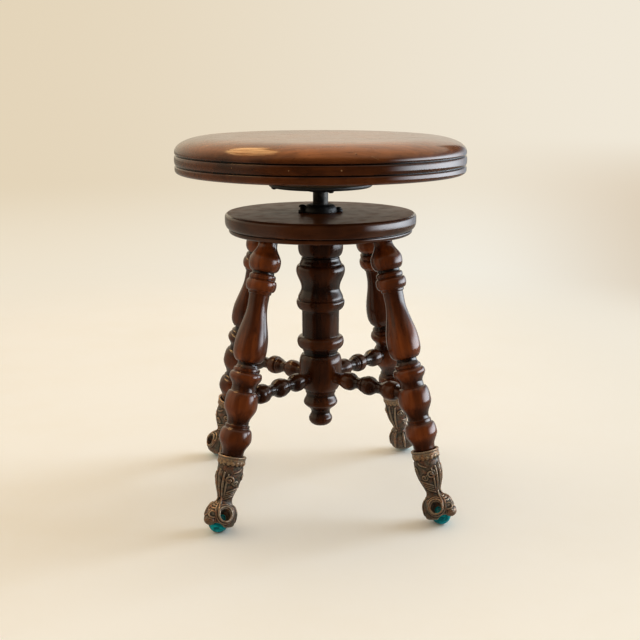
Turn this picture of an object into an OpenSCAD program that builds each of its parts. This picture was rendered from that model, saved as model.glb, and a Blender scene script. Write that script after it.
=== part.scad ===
// Revolving piano stool: a round seat on a screw, a turned stand on four claw feet.
// Millimetres, +Z up. The origin is on the floor, below the screw.

/* [Seat] */
// Width of the seat
seat_d = 356; // [330:1:400]
// Thickness of the seat
seat_t = 44.5; // [40:0.5:55]
// How far in the rounding of the top edge reaches
seat_round_run = 49; // [30:1:70]
// How far down the rounding of the top edge reaches
seat_round_drop = 19.2; // [12:0.2:20]
// Fullness of that rounding, where 2 is an ellipse
seat_round_power = 2.2; // [2:0.1:3]
// Height of the upper groove above the underside
seat_groove_high = 22.8; // [20:0.2:24]
// Height of the lower groove above the underside
seat_groove_low = 10.4; // [8:0.2:14]
// Width of both grooves
seat_groove_w = 1.8; // [1:0.1:2.4]
// Depth of both grooves
seat_groove_depth = 2.4; // [1:0.1:3]
// How far in the bottom bead is tucked
seat_tuck = 6; // [3:0.5:9]

/* [Seat fixing] */
// Width of the wooden cleat
cleat_d = 128; // [110:1:150]
// Thickness of the wooden cleat
cleat_t = 13.1; // [10:0.1:18]
// Width of the iron plate
plate_d = 128; // [110:1:150]
// Thickness of the iron plate
plate_t = 4.5; // [3:0.5:6]
// Width of the plate's hub
hub_d = 32; // [26:1:40]
// Height of the hub below the plate
hub_h = 6; // [4:0.5:10]
// Distance of the plate's screws from the middle
plate_screw_reach = 58; // [48:1:60]
// Turn of the plate's screws from the legs' diagonals
plate_screw_turn = -38; // [-45:1:45]

/* [Wood screws] */
// Width of a screw's shank
wood_screw_d = 3.8; // [3:0.1:4.4]
// Width of a screw's round head
wood_screw_head_d = 7.6; // [6:0.2:8]
// Height of a screw's round head
wood_screw_head_h = 2.6; // [1.5:0.1:3.5]
// Length of a plate screw below its head
plate_screw_len = 28; // [22:1:36]
// Length of a nut screw below its head
nut_screw_len = 19; // [14:1:22]
// How far the first nut screw has backed out
nut_screw_proud = 3.6; // [0:0.1:6]

/* [Seat screw] */
// Width over the thread
thread_d = 18.5; // [17:0.1:19]
// Depth of the thread
thread_depth = 1.7; // [1.2:0.1:2]
// Pitch of the right-hand thread
thread_pitch = 6.35; // [5:0.05:8]
// Threaded length
thread_len = 189; // [150:1:190]
// Width of the plain neck
neck_d = 18.9; // [18.8:0.1:20]
// Clear neck between the nut and the hub
neck_gap = 15.5; // [10:0.5:40]
// Width of the riveted tenon in the plate
rivet_d = 14; // [11:0.5:16]
// Width of the rivet's head
rivet_head_d = 21; // [18:1:26]
// Height of the rivet's head
rivet_head_h = 3; // [2:0.5:5]

/* [Nut] */
// Width of the nut's flange
nut_flange_d = 40.6; // [38:0.2:48]
// Thickness of the flange
nut_flange_t = 3; // [2:0.5:4]
// Height of the nut above the platform
nut_h = 10; // [8:0.5:16]
// Width of the dome's top
nut_top_d = 27.4; // [26.5:0.1:30]
// Width of the barrel in the column
nut_barrel_d = 28; // [25:0.5:30]
// Length of the barrel below the platform's top
nut_barrel_len = 26; // [18:1:36]
// Width of an ear
ear_d = 9.6; // [8:0.2:12]
// Distance of an ear's screw from the middle
ear_reach = 22.5; // [22:0.5:25]
// Width of the loose washer
washer_d = 23.4; // [22:0.1:24]
// Thickness of the loose washer
washer_t = 2; // [1.5:0.5:3]

/* [Platform] */
// Width of the platform
platform_d = 237; // [225:1:270]
// Thickness of the platform
platform_t = 24.8; // [22:0.2:32]
// Height of the platform's top above the floor
platform_h = 361.5; // [340:0.5:400]

/* [Column] */
// Greatest width of the column
column_d = 61.4; // [58:0.2:70]
// Length of the column below the platform
column_len = 250.7; // [240:0.1:270]
// Width of the tenon in the platform
column_tenon_d = 38; // [34:1:42]
// Width of the bore for the screw
bore_d = 21.4; // [21:0.1:23]
// Clear depth of the bore below the lowered screw
bore_spare = 4; // [2:0.5:6]

/* [Legs] */
// Greatest width of a leg
leg_d = 39.6; // [36:0.2:44]
// Circle on which the four balls stand
foot_circle_d = 377; // [350:1:410]
// Circle on which the legs meet the platform
leg_circle_d = 191; // [180:1:200]
// Width of a leg's tenon in the platform
leg_tenon_d = 20; // [16:0.5:21]
// Length of a leg's tenon in the platform
leg_tenon_len = 17; // [12:0.5:19]
// Width of a leg's dowel in its casting
leg_dowel_d = 23.6; // [20:0.2:24.4]
// Length of a leg's dowel in its casting
leg_dowel_len = 26; // [18:0.5:30]

/* [Stretchers] */
// Greatest width of a stretcher
stretcher_d = 24.6; // [22:0.2:28]
// Height of the stretchers above the floor
stretcher_h = 152; // [148:0.5:156]
// Width of a stretcher's tenons
stretcher_tenon_d = 14.6; // [12:0.2:16]
// Depth of the tenon in the column
stretcher_in_column = 12; // [8:0.5:14]
// Depth of the tenon in the leg
stretcher_in_leg = 12; // [8:0.5:16]

/* [Feet] */
// Width of a glass ball
ball_d = 24; // [22:0.5:26]
// How far the ball stands out from the leg's axis
ball_toe_out = 5; // [0:0.5:6]
// Length of a casting from the ball's middle to its rim
foot_len = 79.5; // [74:0.5:90]
// Width over the rim
rim_d = 34; // [32:0.2:38]
// Height of the rim band
rim_h = 9.5; // [6:0.5:12]
// Width of the mouth at the rim
mouth_d = 28.4; // [27:0.2:30]
// Depth of the mouth
mouth_depth = 5; // [2:0.5:8]
// Width of the ankle
ankle_d = 16.8; // [15:0.2:20]
// Width of the paw round the ball
paw_d = 35.6; // [32:0.2:38]
// Thickness of the front toe
toe_d = 12.4; // [9:0.2:13]
// Width of the window in each side of the paw
window_d = 10; // [6:0.5:11]
// Width of the arches beside the toe
arch_d = 18; // [12:1:20]
// Width of a ferrule pin
pin_d = 2.4; // [1.6:0.2:3]
// Length of a ferrule pin
pin_len = 13; // [10:0.5:16]

/* [Clearances] */
// Glued tenon in its socket
glue_gap = 0.05; // [0.02:0.01:0.2]
// Male thread to nut thread
thread_gap = 0.35; // [0.3:0.05:0.5]
// Washer in its recess and on the neck
washer_gap = 0.3; // [0.3:0.05:0.6]
// Claws to glass
glass_gap = 0.1; // [0.05:0.05:0.3]

/* [Hidden] */

// Smoothness: sides of a round, steps of a curve, sides of a thread's turn
$fn = 96;
curve_steps = 8;
thread_sides = 20;

// Overrun that serves all cuts and joins
over = 1;

// Heights, from the floor up
ball_r = ball_d / 2;
platform_low = platform_h - platform_t;
column_low = platform_low - column_len;
nut_top = platform_h + nut_h;
washer_low = nut_top - washer_t;
hub_low = nut_top + neck_gap;
plate_low = hub_low + hub_h;
cleat_low = plate_low + plate_t;
seat_low = cleat_low + cleat_t;
// The thread runs just past the nut's own thread, up inside the washer
thread_rise = washer_t / 4;
thread_top = washer_low + thread_rise;
thread_low = thread_top - thread_len;
bore_low = thread_low - bore_spare;

// Leg axis: it leans out from the platform's underside to the ball
foot_r = foot_circle_d / 2;
leg_low_r = foot_r - ball_toe_out;
leg_high_r = leg_circle_d / 2;
splay = atan((leg_low_r - leg_high_r) / (platform_low - ball_r));
leg_axis_len = (platform_low - ball_r) / cos(splay);
leg_turned_len = leg_axis_len - foot_len;
leg_r = leg_d / 2;
leg_axis_at_stretcher = leg_low_r - (stretcher_h - ball_r) * tan(splay);

// Turned outlines, as rows of [share of the length, share of the greatest radius, curve].
// A curve leads to its row from the row before: "line" is straight, "wave" eases at both ends,
// "swell" leaves a corner and ends level, "fall" starts level and ends at a corner.
leg_shares = [
    [0, 0.636, "line"], [0.014, 0.65, "line"], [0.078, 0.97, "wave"], [0.125, 0.79, "fall"],
    [0.129, 0.73, "line"], [0.142, 0.74, "line"], [0.145, 0.65, "line"], [0.155, 0.65, "line"],
    [0.23, 0.995, "wave"], [0.24, 0.995, "line"], [0.297, 0.8, "fall"], [0.3, 0.735, "line"],
    [0.32, 0.71, "line"], [0.367, 0.98, "wave"], [0.388, 0.81, "fall"], [0.39, 0.765, "line"],
    [0.395, 0.8, "line"], [0.406, 0.78, "line"], [0.408, 0.69, "line"], [0.424, 0.61, "wave"],
    [0.434, 0.61, "line"], [0.492, 1, "swell"], [0.505, 1, "line"], [0.706, 0.596, "wave"],
    [0.75, 0.61, "line"], [0.753, 0.685, "line"], [0.763, 0.695, "line"], [0.765, 0.735, "line"],
    [0.796, 0.92, "swell"], [0.817, 0.8, "fall"], [0.819, 0.76, "line"], [0.823, 0.8, "line"],
    [0.833, 0.8, "line"], [0.843, 0.7, "fall"], [0.846, 0.665, "line"], [0.856, 0.665, "line"],
    [0.897, 0.955, "swell"], [0.904, 0.955, "line"], [0.98, 0.565, "wave"], [1, 0.555, "line"]
];
column_shares = [
    [0, 0.2, "line"], [0.036, 0.49, "swell"], [0.068, 0.39, "wave"], [0.076, 0.4, "line"],
    [0.122, 0.707, "wave"], [0.16, 0.59, "wave"], [0.168, 0.59, "line"], [0.17, 0.625, "line"],
    [0.18, 0.632, "line"], [0.287, 0.876, "swell"], [0.307, 0.876, "line"], [0.379, 0.694, "wave"],
    [0.393, 0.7, "line"], [0.395, 0.735, "line"], [0.404, 0.745, "line"], [0.409, 0.765, "line"],
    [0.445, 0.967, "swell"], [0.473, 0.81, "fall"], [0.475, 0.759, "line"], [0.598, 0.765, "line"],
    [0.606, 0.79, "line"], [0.61, 0.805, "line"], [0.648, 0.99, "swell"], [0.66, 0.945, "fall"],
    [0.662, 0.91, "line"], [0.666, 0.93, "line"], [0.72, 0.79, "wave"], [0.81, 1, "wave"],
    [0.838, 0.88, "fall"], [0.842, 0.855, "line"], [0.866, 0.785, "wave"], [0.872, 0.785, "line"],
    [0.875, 0.75, "line"], [0.88, 0.75, "line"], [0.924, 0.92, "swell"], [1, 0.91, "line"]
];
// The stretcher's ends are plain and of its tenon's width
stretcher_shares = [
    [0.05, 0.72, "line"], [0.065, 0.72, "line"], [0.075, 0.62, "line"], [0.18, 0.96, "swell"],
    [0.31, 0.54, "wave"], [0.325, 0.54, "line"], [0.33, 0.7, "line"], [0.35, 0.72, "line"],
    [0.36, 0.62, "line"], [0.385, 0.8, "swell"], [0.5, 1, "swell"], [0.615, 0.8, "fall"],
    [0.64, 0.62, "fall"], [0.65, 0.72, "line"], [0.67, 0.7, "line"], [0.675, 0.56, "line"],
    [0.69, 0.56, "line"], [0.8, 1, "wave"], [0.92, 0.64, "fall"]
];
// Board's edge from its underside, as [share of the thickness, share of the edge's depth, curve]
platform_edge = 8.5;
platform_edge_shares = [
    [0, 0, "line"], [0.14, 0.43, "swell"], [0.21, 0.43, "line"], [0.24, 0.3, "line"],
    [0.265, 0.3, "line"], [0.27, 0.4, "line"], [0.7, 1, "wave"], [0.93, 0.48, "fall"],
    [0.935, 0.38, "line"], [1, 0.38, "line"]
];

// Share of the way at share t between two rows
function ease(curve, t) =
    curve == "wave" ? (1 - cos(180 * t)) / 2 :
    curve == "swell" ? sqrt(1 - pow(1 - t, 2)) :
    curve == "fall" ? 1 - sqrt(1 - t * t) : t;

// Outline points [radius, height] of a table of shares
function turned(rows, len, r, inner = 0) = concat(
    [[inner + rows[0][1] * r, rows[0][0] * len]],
    [for (i = [1 : len(rows) - 1])
        let (n = rows[i][2] == "line" ? 1 : curve_steps)
        for (k = [1 : n])
            [inner + r * (rows[i - 1][1] + (rows[i][1] - rows[i - 1][1]) * ease(rows[i][2], k / n)),
             len * (rows[i - 1][0] + (rows[i][0] - rows[i - 1][0]) * k / n)]]
);

// A solid of revolution from an outline that starts and ends away from the axis
module lathe(points) {
    rotate_extrude()
        polygon(concat([[0, points[0].y]], points, [[0, points[len(points) - 1].y]]));
}

module at_height(h) { translate([0, 0, h]) children(); }
module at_leg_side(i) { rotate([0, 0, 90 * i - 45]) children(); }
// Along a leg's axis: the origin is beside the ball's middle, +X leans out
module along_leg(i) {
    at_leg_side(i) translate([leg_low_r, 0, ball_r]) rotate([0, -splay, 0]) children();
}
// The same lean, with the origin at the ball's middle
module at_ball(i) {
    at_leg_side(i) translate([foot_r, 0, ball_r]) rotate([0, -splay, 0]) children();
}

// Seat
seat_r = seat_d / 2;
seat_bead_rise = seat_tuck * 0.8;
function seat_round(r, top) = [for (k = [0 : 2 * curve_steps])
    let (a = 90 * k / (2 * curve_steps))
    [r - seat_round_run + seat_round_run * pow(cos(a), 2 / seat_round_power),
     top - seat_round_drop + seat_round_drop * pow(sin(a), 2 / seat_round_power)]];
function seat_bead(r) = [for (k = [0 : curve_steps])
    let (a = 90 * k / curve_steps)
    [r - seat_tuck + seat_tuck * sin(a), seat_bead_rise * (1 - cos(a))]];
function groove(r, h) = [
    [r, h - seat_groove_w / 2], [r - seat_groove_depth, h - seat_groove_w / 4],
    [r - seat_groove_depth, h + seat_groove_w / 4], [r, h + seat_groove_w / 2]];

module seat() {
    color([0.34, 0.17, 0.09])
    difference() {
        at_height(seat_low) lathe(concat(
            seat_bead(seat_r), groove(seat_r, seat_groove_low),
            groove(seat_r, seat_groove_high), seat_round(seat_r, seat_t)));
        plate_screw_holes();
    }
}

module plate_screw_places() {
    for (i = [1 : 4]) at_leg_side(i) rotate([0, 0, plate_screw_turn])
        translate([plate_screw_reach, 0, 0]) children();
}
module plate_screw_holes() {
    plate_screw_places() at_height(plate_low - over)
        cylinder(d = wood_screw_d + 2 * glue_gap, h = plate_screw_len + over + glue_gap);
}

// Cleat, with a recess for the rivet's head
module seat_cleat() {
    color([0.2, 0.11, 0.07])
    difference() {
        at_height(cleat_low) cylinder(d = cleat_d, h = cleat_t);
        at_height(cleat_low - over)
            cylinder(d = rivet_head_d + 2 * washer_gap, h = rivet_head_h + washer_gap + over);
        plate_screw_holes();
    }
}

// Iron plate with its hub
plate_edge = plate_t / 3;
module seat_plate() {
    color([0.1, 0.1, 0.1])
    difference() {
        at_height(hub_low) lathe(concat(
            [[hub_d / 2, 0], [hub_d / 2, hub_h / 2]],
            [for (k = [1 : curve_steps]) let (a = 90 * k / curve_steps)
                [hub_d / 2 + hub_h / 2 * (1 - cos(a)), hub_h / 2 * (1 + sin(a))]],
            [[plate_d / 2 - plate_edge, hub_h], [plate_d / 2, hub_h + plate_edge],
             [plate_d / 2, hub_h + plate_t]]));
        at_height(hub_low - over)
            cylinder(d = rivet_d + 2 * glue_gap, h = hub_h + plate_t + 2 * over);
        plate_screw_holes();
    }
}

// Round-head wood screw: head up, its seat at the origin
slot_w = wood_screw_head_d / 7;
slot_depth = wood_screw_head_h / 3;
point_len = wood_screw_d;
module wood_screw(shank_len) {
    difference() {
        union() {
            rotate_extrude() polygon(concat([[0, 0]], [for (k = [0 : curve_steps])
                let (a = 90 * k / curve_steps)
                [wood_screw_head_d / 2 * cos(a), wood_screw_head_h * sin(a)]]));
            at_height(point_len - shank_len)
                cylinder(d = wood_screw_d, h = shank_len - point_len + slot_depth);
            at_height(-shank_len) cylinder(d1 = wood_screw_d / 4, d2 = wood_screw_d, h = point_len);
        }
        at_height(wood_screw_head_h - slot_depth / 2)
            cube([wood_screw_head_d + over, slot_w, slot_depth], center = true);
    }
}
module plate_screws() {
    color([0.16, 0.15, 0.14])
    plate_screw_places() at_height(plate_low) rotate([180, 0, 0]) wood_screw(plate_screw_len);
}

// Right-hand thread: one profile swept up a helix, its ends closed to points on the axis.
// The profile's rows are [share of the pitch, whether on the crest].
thread_profile_shares = [[0, 1], [0.4, 1], [0.5, 0], [0.9, 0]];
module thread(crest_r, root_r, widen, low, len) {
    turns = ceil(len / thread_pitch);
    rows = len(thread_profile_shares);
    last = turns * thread_sides;
    // A wider ridge by the same gap on both flanks
    function lift(j) = (j == 0 || j == 3 ? -widen : widen);
    points = concat(
        [for (i = [0 : last], j = [0 : rows - 1])
            let (a = 360 * i / thread_sides, r = thread_profile_shares[j][1] == 1 ? crest_r : root_r)
            [r * cos(a), r * sin(a), low + thread_pitch * (i / thread_sides
                + thread_profile_shares[j][0]) + lift(j)]],
        [[0, 0, low - widen], [0, 0, low + thread_pitch * (turns + 1)]]
    );
    foot = rows * (last + 1);
    head = foot + 1;
    step = rows * thread_sides;
    polyhedron(points = points, convexity = 10, faces = concat(
        [for (i = [0 : last - 1], j = [0 : rows - 2])
            let (a = rows * i + j) each [[a, a + 1, a + rows], [a + 1, a + 1 + rows, a + rows]]],
        [for (i = [0 : last - thread_sides - 1])
            let (a = rows * i + rows - 1, b = rows * i + step)
            each [[a, b, a + rows], [b, b + rows, a + rows]]],
        [for (i = [0 : thread_sides - 1]) [rows * i, rows * (i + 1), foot]],
        [for (j = [0 : rows - 2]) [j + 1, j, foot]],
        [[step, rows - 1, foot]],
        [for (i = [last - thread_sides : last - 1])
            [rows * (i + 1) + rows - 1, rows * i + rows - 1, head]],
        [for (j = [0 : rows - 2]) [rows * last + j, rows * last + j + 1, head]],
        [[rows * (last - thread_sides) + rows - 1, rows * last, head]]
    ));
}

// Seat screw: thread, plain neck, riveted tenon
module seat_screw() {
    color([0.13, 0.13, 0.13]) {
        intersection() {
            thread(thread_d / 2, thread_d / 2 - thread_depth, 0,
                thread_low - thread_pitch, thread_len + 2 * thread_pitch);
            at_height(thread_low) cylinder(d = thread_d + over, h = thread_len + over);
        }
        at_height(thread_top) cylinder(d = neck_d, h = hub_low - thread_top);
        at_height(hub_low) cylinder(d = rivet_d, h = hub_h + plate_t);
        at_height(cleat_low) cylinder(d = rivet_head_d, h = rivet_head_h);
    }
}

// Loose washer that carries the seat's weight while it turns
module thrust_washer() {
    color([0.3, 0.28, 0.25])
    at_height(washer_low) difference() {
        cylinder(d = washer_d, h = washer_t);
        at_height(-over) cylinder(d = neck_d + 2 * washer_gap, h = washer_t + 2 * over);
    }
}

// Domed nut with two ears and a threaded barrel
ear_sides = [0, 180];
module ear_places() {
    for (a = ear_sides) rotate([0, 0, a]) translate([ear_reach, 0, 0]) children();
}
module nut_screw_holes() {
    ear_places() at_height(platform_h + nut_flange_t - nut_screw_len - glue_gap)
        cylinder(d = wood_screw_d + 2 * glue_gap, h = nut_screw_len + over);
}
module screw_nut() {
    dome = nut_h - nut_flange_t;
    dome_run = (nut_flange_d - nut_top_d) / 2 - glue_gap;
    color([0.12, 0.12, 0.12])
    difference() {
        union() {
            at_height(platform_h) lathe(concat(
                [[nut_barrel_d / 2, -nut_barrel_len], [nut_barrel_d / 2, 0],
                 [nut_flange_d / 2, 0], [nut_flange_d / 2, nut_flange_t]],
                [for (k = [0 : curve_steps]) let (a = 90 * k / curve_steps)
                    [nut_top_d / 2 + dome_run * cos(a), nut_flange_t + dome * sin(a)]]));
            ear_places() at_height(platform_h) cylinder(d = ear_d, h = nut_flange_t);
        }
        intersection() {
            thread(thread_d / 2 + thread_gap, thread_d / 2 - thread_depth + thread_gap, thread_gap,
                thread_low - thread_pitch
                    + thread_pitch * floor((platform_h - nut_barrel_len - thread_low) / thread_pitch),
                nut_barrel_len + nut_h + 2 * thread_pitch);
            at_height(platform_h - nut_barrel_len - over)
                cylinder(d = nut_barrel_d, h = nut_barrel_len + nut_h - washer_t + over);
        }
        at_height(washer_low) cylinder(d = washer_d + 2 * washer_gap, h = washer_t + over);
        nut_screw_holes();
        // Flat seats for the screws' heads, cut into the foot of the dome
        ear_places() at_height(platform_h + nut_flange_t)
            cylinder(d = wood_screw_head_d + 2 * washer_gap, h = nut_h);
    }
}
module nut_screws() {
    color([0.15, 0.14, 0.13])
    for (k = [0, 1]) rotate([0, 0, ear_sides[1 - k]])
        translate([ear_reach, 0, platform_h + nut_flange_t + (k == 0 ? nut_screw_proud : 0)])
            wood_screw(nut_screw_len);
}

// Turned board over the legs
module platform() {
    color([0.24, 0.13, 0.09])
    difference() {
        at_height(platform_low) lathe(turned(platform_edge_shares, platform_t, platform_edge,
            platform_d / 2 - platform_edge));
        at_height(platform_low - over)
            cylinder(d = column_tenon_d + 2 * glue_gap, h = platform_t + 2 * over);
        for (i = [1 : 4]) along_leg(i) at_height(leg_axis_len - leg_tenon_len)
            cylinder(d = leg_tenon_d + 2 * glue_gap, h = 2 * leg_tenon_len + glue_gap);
        nut_screw_holes();
    }
}

// Turned centre post
column_r = column_d / 2;
bulb_r = column_r * 0.876;
module column() {
    color([0.26, 0.12, 0.08])
    difference() {
        union() {
            at_height(column_low) lathe(turned(column_shares, column_len, column_r));
            at_height(platform_low - over) cylinder(d = column_tenon_d, h = platform_t + over);
        }
        at_height(bore_low) cylinder(d = bore_d, h = platform_h - bore_low + over);
        at_height(platform_h - nut_barrel_len - glue_gap)
            cylinder(d = nut_barrel_d + 2 * glue_gap, h = nut_barrel_len + over + glue_gap);
        for (i = [1 : 4]) at_leg_side(i)
            stretcher_bore(bulb_r - stretcher_in_column - glue_gap, bulb_r + over);
        nut_screw_holes();
    }
}

// A bore along a stretcher, between two distances from the middle
module stretcher_bore(from, to) {
    translate([from, 0, stretcher_h]) rotate([0, 90, 0])
        cylinder(d = stretcher_tenon_d + 2 * glue_gap, h = to - from);
}

// Turned leg: tenon in the platform, shoulder cut to its underside, dowel in the casting
leg_top_r = leg_r * leg_shares[len(leg_shares) - 1][1];
module leg(i) {
    // Length over which the slanting underside cuts the leg's top, with room to spare
    shoulder = leg_d * sin(splay);
    color([0.36, 0.14, 0.08])
    difference() {
        union() {
            difference() {
                along_leg(i) at_height(foot_len) lathe(concat(
                    [[leg_dowel_d / 2, -leg_dowel_len], [leg_dowel_d / 2, 0]],
                    turned(leg_shares, leg_turned_len, leg_r),
                    [[leg_top_r, leg_turned_len + shoulder]]));
                at_height(platform_low) cylinder(r = foot_r, h = platform_t);
            }
            along_leg(i) at_height(leg_axis_len - shoulder)
                cylinder(d = leg_tenon_d, h = leg_tenon_len + shoulder);
        }
        at_leg_side(i) stretcher_bore(stretcher_out_r() - stretcher_in_leg - leg_r,
            stretcher_out_r() + glue_gap);
        pin_hole(i);
    }
}

// Turned stretcher from the column's bulb to a leg
function stretcher_out_r() = leg_axis_at_stretcher - leg_r + stretcher_in_leg;
module stretcher(i) {
    from = bulb_r - stretcher_in_column;
    shown = leg_axis_at_stretcher - leg_r - bulb_r;
    tenon_share = stretcher_tenon_d / stretcher_d;
    rows = concat([[-stretcher_in_column / shown, tenon_share, "line"], [0.05, tenon_share, "line"]],
        stretcher_shares,
        [[0.92, tenon_share, "line"], [1 + stretcher_in_leg / shown, tenon_share, "line"]]);
    color([0.24, 0.11, 0.08])
    at_leg_side(i) translate([bulb_r, 0, stretcher_h]) rotate([0, 90, 0])
        lathe(turned(rows, shown, stretcher_d / 2));
}

// Casting: a socket and an ankle turned about the leg's axis, a hollow paw over the ball
ankle_shares = [
    [0.25, 1.2, "line"], [0.32, 1, "wave"], [0.35, 1, "line"], [0.4, 1.11, "line"],
    [0.55, 1.58, "line"], [0.635, 1.73, "line"], [0.72, 1.8, "line"], [0.86, 1.79, "line"]
];
paw_shares = [
    [0, 0.9, "line"], [0.229, 1, "swell"], [0.328, 1, "line"], [0.777, 0.62, "fall"], [1, 0.32, "line"]
];
rim_step = rim_h / 5;
module casting_body() {
    lathe(concat(turned(ankle_shares, foot_len, ankle_d / 2), [
        [rim_d / 2 - rim_step, foot_len - rim_h], [rim_d / 2 - rim_step / 2, foot_len - rim_h],
        [rim_d / 2, foot_len - rim_step], [rim_d / 2, foot_len]]));
}
paw_drop = ball_r / 5;
paw_len = ball_d * 1.27;
paw_back = ball_toe_out * 0.4;
window_turn = 68;
window_lift = 45;
arch_turn = 40;
arch_drop = ball_r * 0.55;
toe_ring_r = paw_d / 2 - toe_d / 2 + 2.2 * paw_back;
toe_high = 76;
toe_tip_share = 1.08;
toe_low = 16;
module paw() {
    difference() {
        translate([-paw_back, 0, -paw_drop]) lathe(turned(paw_shares, paw_len, paw_d / 2));
        for (s = [-1, 1]) at_height(-arch_drop) side_cut(arch_turn * s, 0, arch_d);
    }
    rotate([90, 0, 0]) {
        rotate([0, 0, toe_low]) rotate_extrude(angle = toe_high - toe_low)
            translate([toe_ring_r, 0]) circle(d = toe_d);
        rotate([0, 0, toe_low]) translate([toe_ring_r, 0, 0]) sphere(d = toe_d * toe_tip_share);
    }
}
// A round cut that runs out from the ball's middle, lifted from level
module side_cut(turn, lift, d) {
    rotate([0, 90 - lift, turn]) cylinder(d = d, h = paw_d);
}
spine_r = ankle_d * 0.48;
module claw_foot(i) {
    color([0.5, 0.4, 0.24])
    difference() {
        union() {
            along_leg(i) {
                casting_body();
                // Leafy knee on the front of the casting
                translate([spine_r, 0, foot_len * 0.7]) sphere(r = spine_r);
            }
            at_ball(i) paw();
        }
        at_ball(i) {
            sphere(r = ball_r + glass_gap);
            for (s = [-1, 1]) side_cut(window_turn * s, window_lift, window_d);
        }
        along_leg(i) {
            at_height(foot_len - leg_dowel_len - glue_gap)
                cylinder(d = leg_dowel_d + 2 * glue_gap, h = leg_dowel_len + over);
            at_height(foot_len - mouth_depth) cylinder(d = mouth_d, h = mouth_depth + over);
        }
        pin_hole(i);
    }
}
module glass_ball(i) {
    color([0.02, 0.42, 0.42]) at_ball(i) sphere(r = ball_r);
}

// Brads through the back of each casting into the leg
pin_height = foot_len - leg_dowel_len / 2 - mouth_depth / 2;
pin_out = rim_d / 2 - rim_step;
module at_pin(i) { along_leg(i) translate([-pin_out, 0, pin_height]) rotate([0, 90, 0]) children(); }
module pin_hole(i) {
    at_pin(i) at_height(-over) cylinder(d = pin_d + 2 * glue_gap, h = pin_len + over + glue_gap);
}
module ferrule_pins() {
    color([0.35, 0.3, 0.2]) for (i = [1 : 4]) at_pin(i) cylinder(d = pin_d, h = pin_len);
}

seat();
seat_cleat();
seat_plate();
plate_screws();
seat_screw();
thrust_washer();
screw_nut();
nut_screws();
platform();
column();
for (i = [1 : 4]) {
    leg(i);
    stretcher(i);
    claw_foot(i);
    glass_ball(i);
}
ferrule_pins();
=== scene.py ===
"""Visual model of a revolving piano stool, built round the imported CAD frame.

Lengths in the classes are in millimetres and heights are above the floor, as in the CAD model.
"""
from __future__ import annotations

import logging
import math
from dataclasses import dataclass, field
from enum import Enum
from typing import Callable, ClassVar, Iterable, Sequence

import bmesh
import bpy
import numpy as np
from mathutils import Matrix, Vector


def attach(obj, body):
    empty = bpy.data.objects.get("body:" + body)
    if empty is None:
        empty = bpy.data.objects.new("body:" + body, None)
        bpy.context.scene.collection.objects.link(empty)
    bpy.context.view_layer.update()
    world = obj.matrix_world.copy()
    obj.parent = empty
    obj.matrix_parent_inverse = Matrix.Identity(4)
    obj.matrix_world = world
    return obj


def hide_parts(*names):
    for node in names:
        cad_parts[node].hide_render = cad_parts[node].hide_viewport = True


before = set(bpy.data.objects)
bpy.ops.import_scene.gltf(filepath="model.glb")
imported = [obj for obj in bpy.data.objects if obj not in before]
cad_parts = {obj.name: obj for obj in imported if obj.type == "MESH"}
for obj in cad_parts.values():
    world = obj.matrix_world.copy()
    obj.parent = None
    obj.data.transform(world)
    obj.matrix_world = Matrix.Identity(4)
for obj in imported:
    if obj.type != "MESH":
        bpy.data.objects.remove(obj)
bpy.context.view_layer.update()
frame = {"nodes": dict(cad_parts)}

logging.basicConfig(level=logging.INFO, format="%(message)s")
log = logging.getLogger("stool")

Point = tuple[float, float, float]
Colour = tuple[float, float, float]
Pair = tuple[float, float]

MM = 0.001  # metres in a millimetre
SIDES = range(1, 5)  # the numbers of the four legs
BEND_POINTS = 28  # points along one bend of an outline
ROUNDING_REACH = 2.5  # how far a corner's rounding looks along the outline, in its own size
STRAIGHT_WITHIN = 0.012  # how far an outline may leave a straight step, in millimetres
LONGEST_STEP = 3.2  # the longest straight step of an outline, in millimetres
ON_AXIS = 1e-4  # a smaller radius lies on the axis


class Body(Enum):
    """The bodies of the CAD frame that dressed pieces ride on."""

    BASE = "base"
    SEAT = "seat_unit"


class Grain(Enum):
    """How far the wood's figure is drawn out along each of a piece's own axes."""

    LYING = (0.09, 1.0, 1.0)
    UPRIGHT = (1.0, 1.0, 0.08)


def shaded(colour: Colour, *shares: float) -> Colour:
    """The colour times one share, or times a share for each channel."""
    return tuple(c * share for c, share in zip(colour, shares * 3 if len(shares) == 1 else shares))


# ---------------------------------------------------------------- shader expressions


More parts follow.
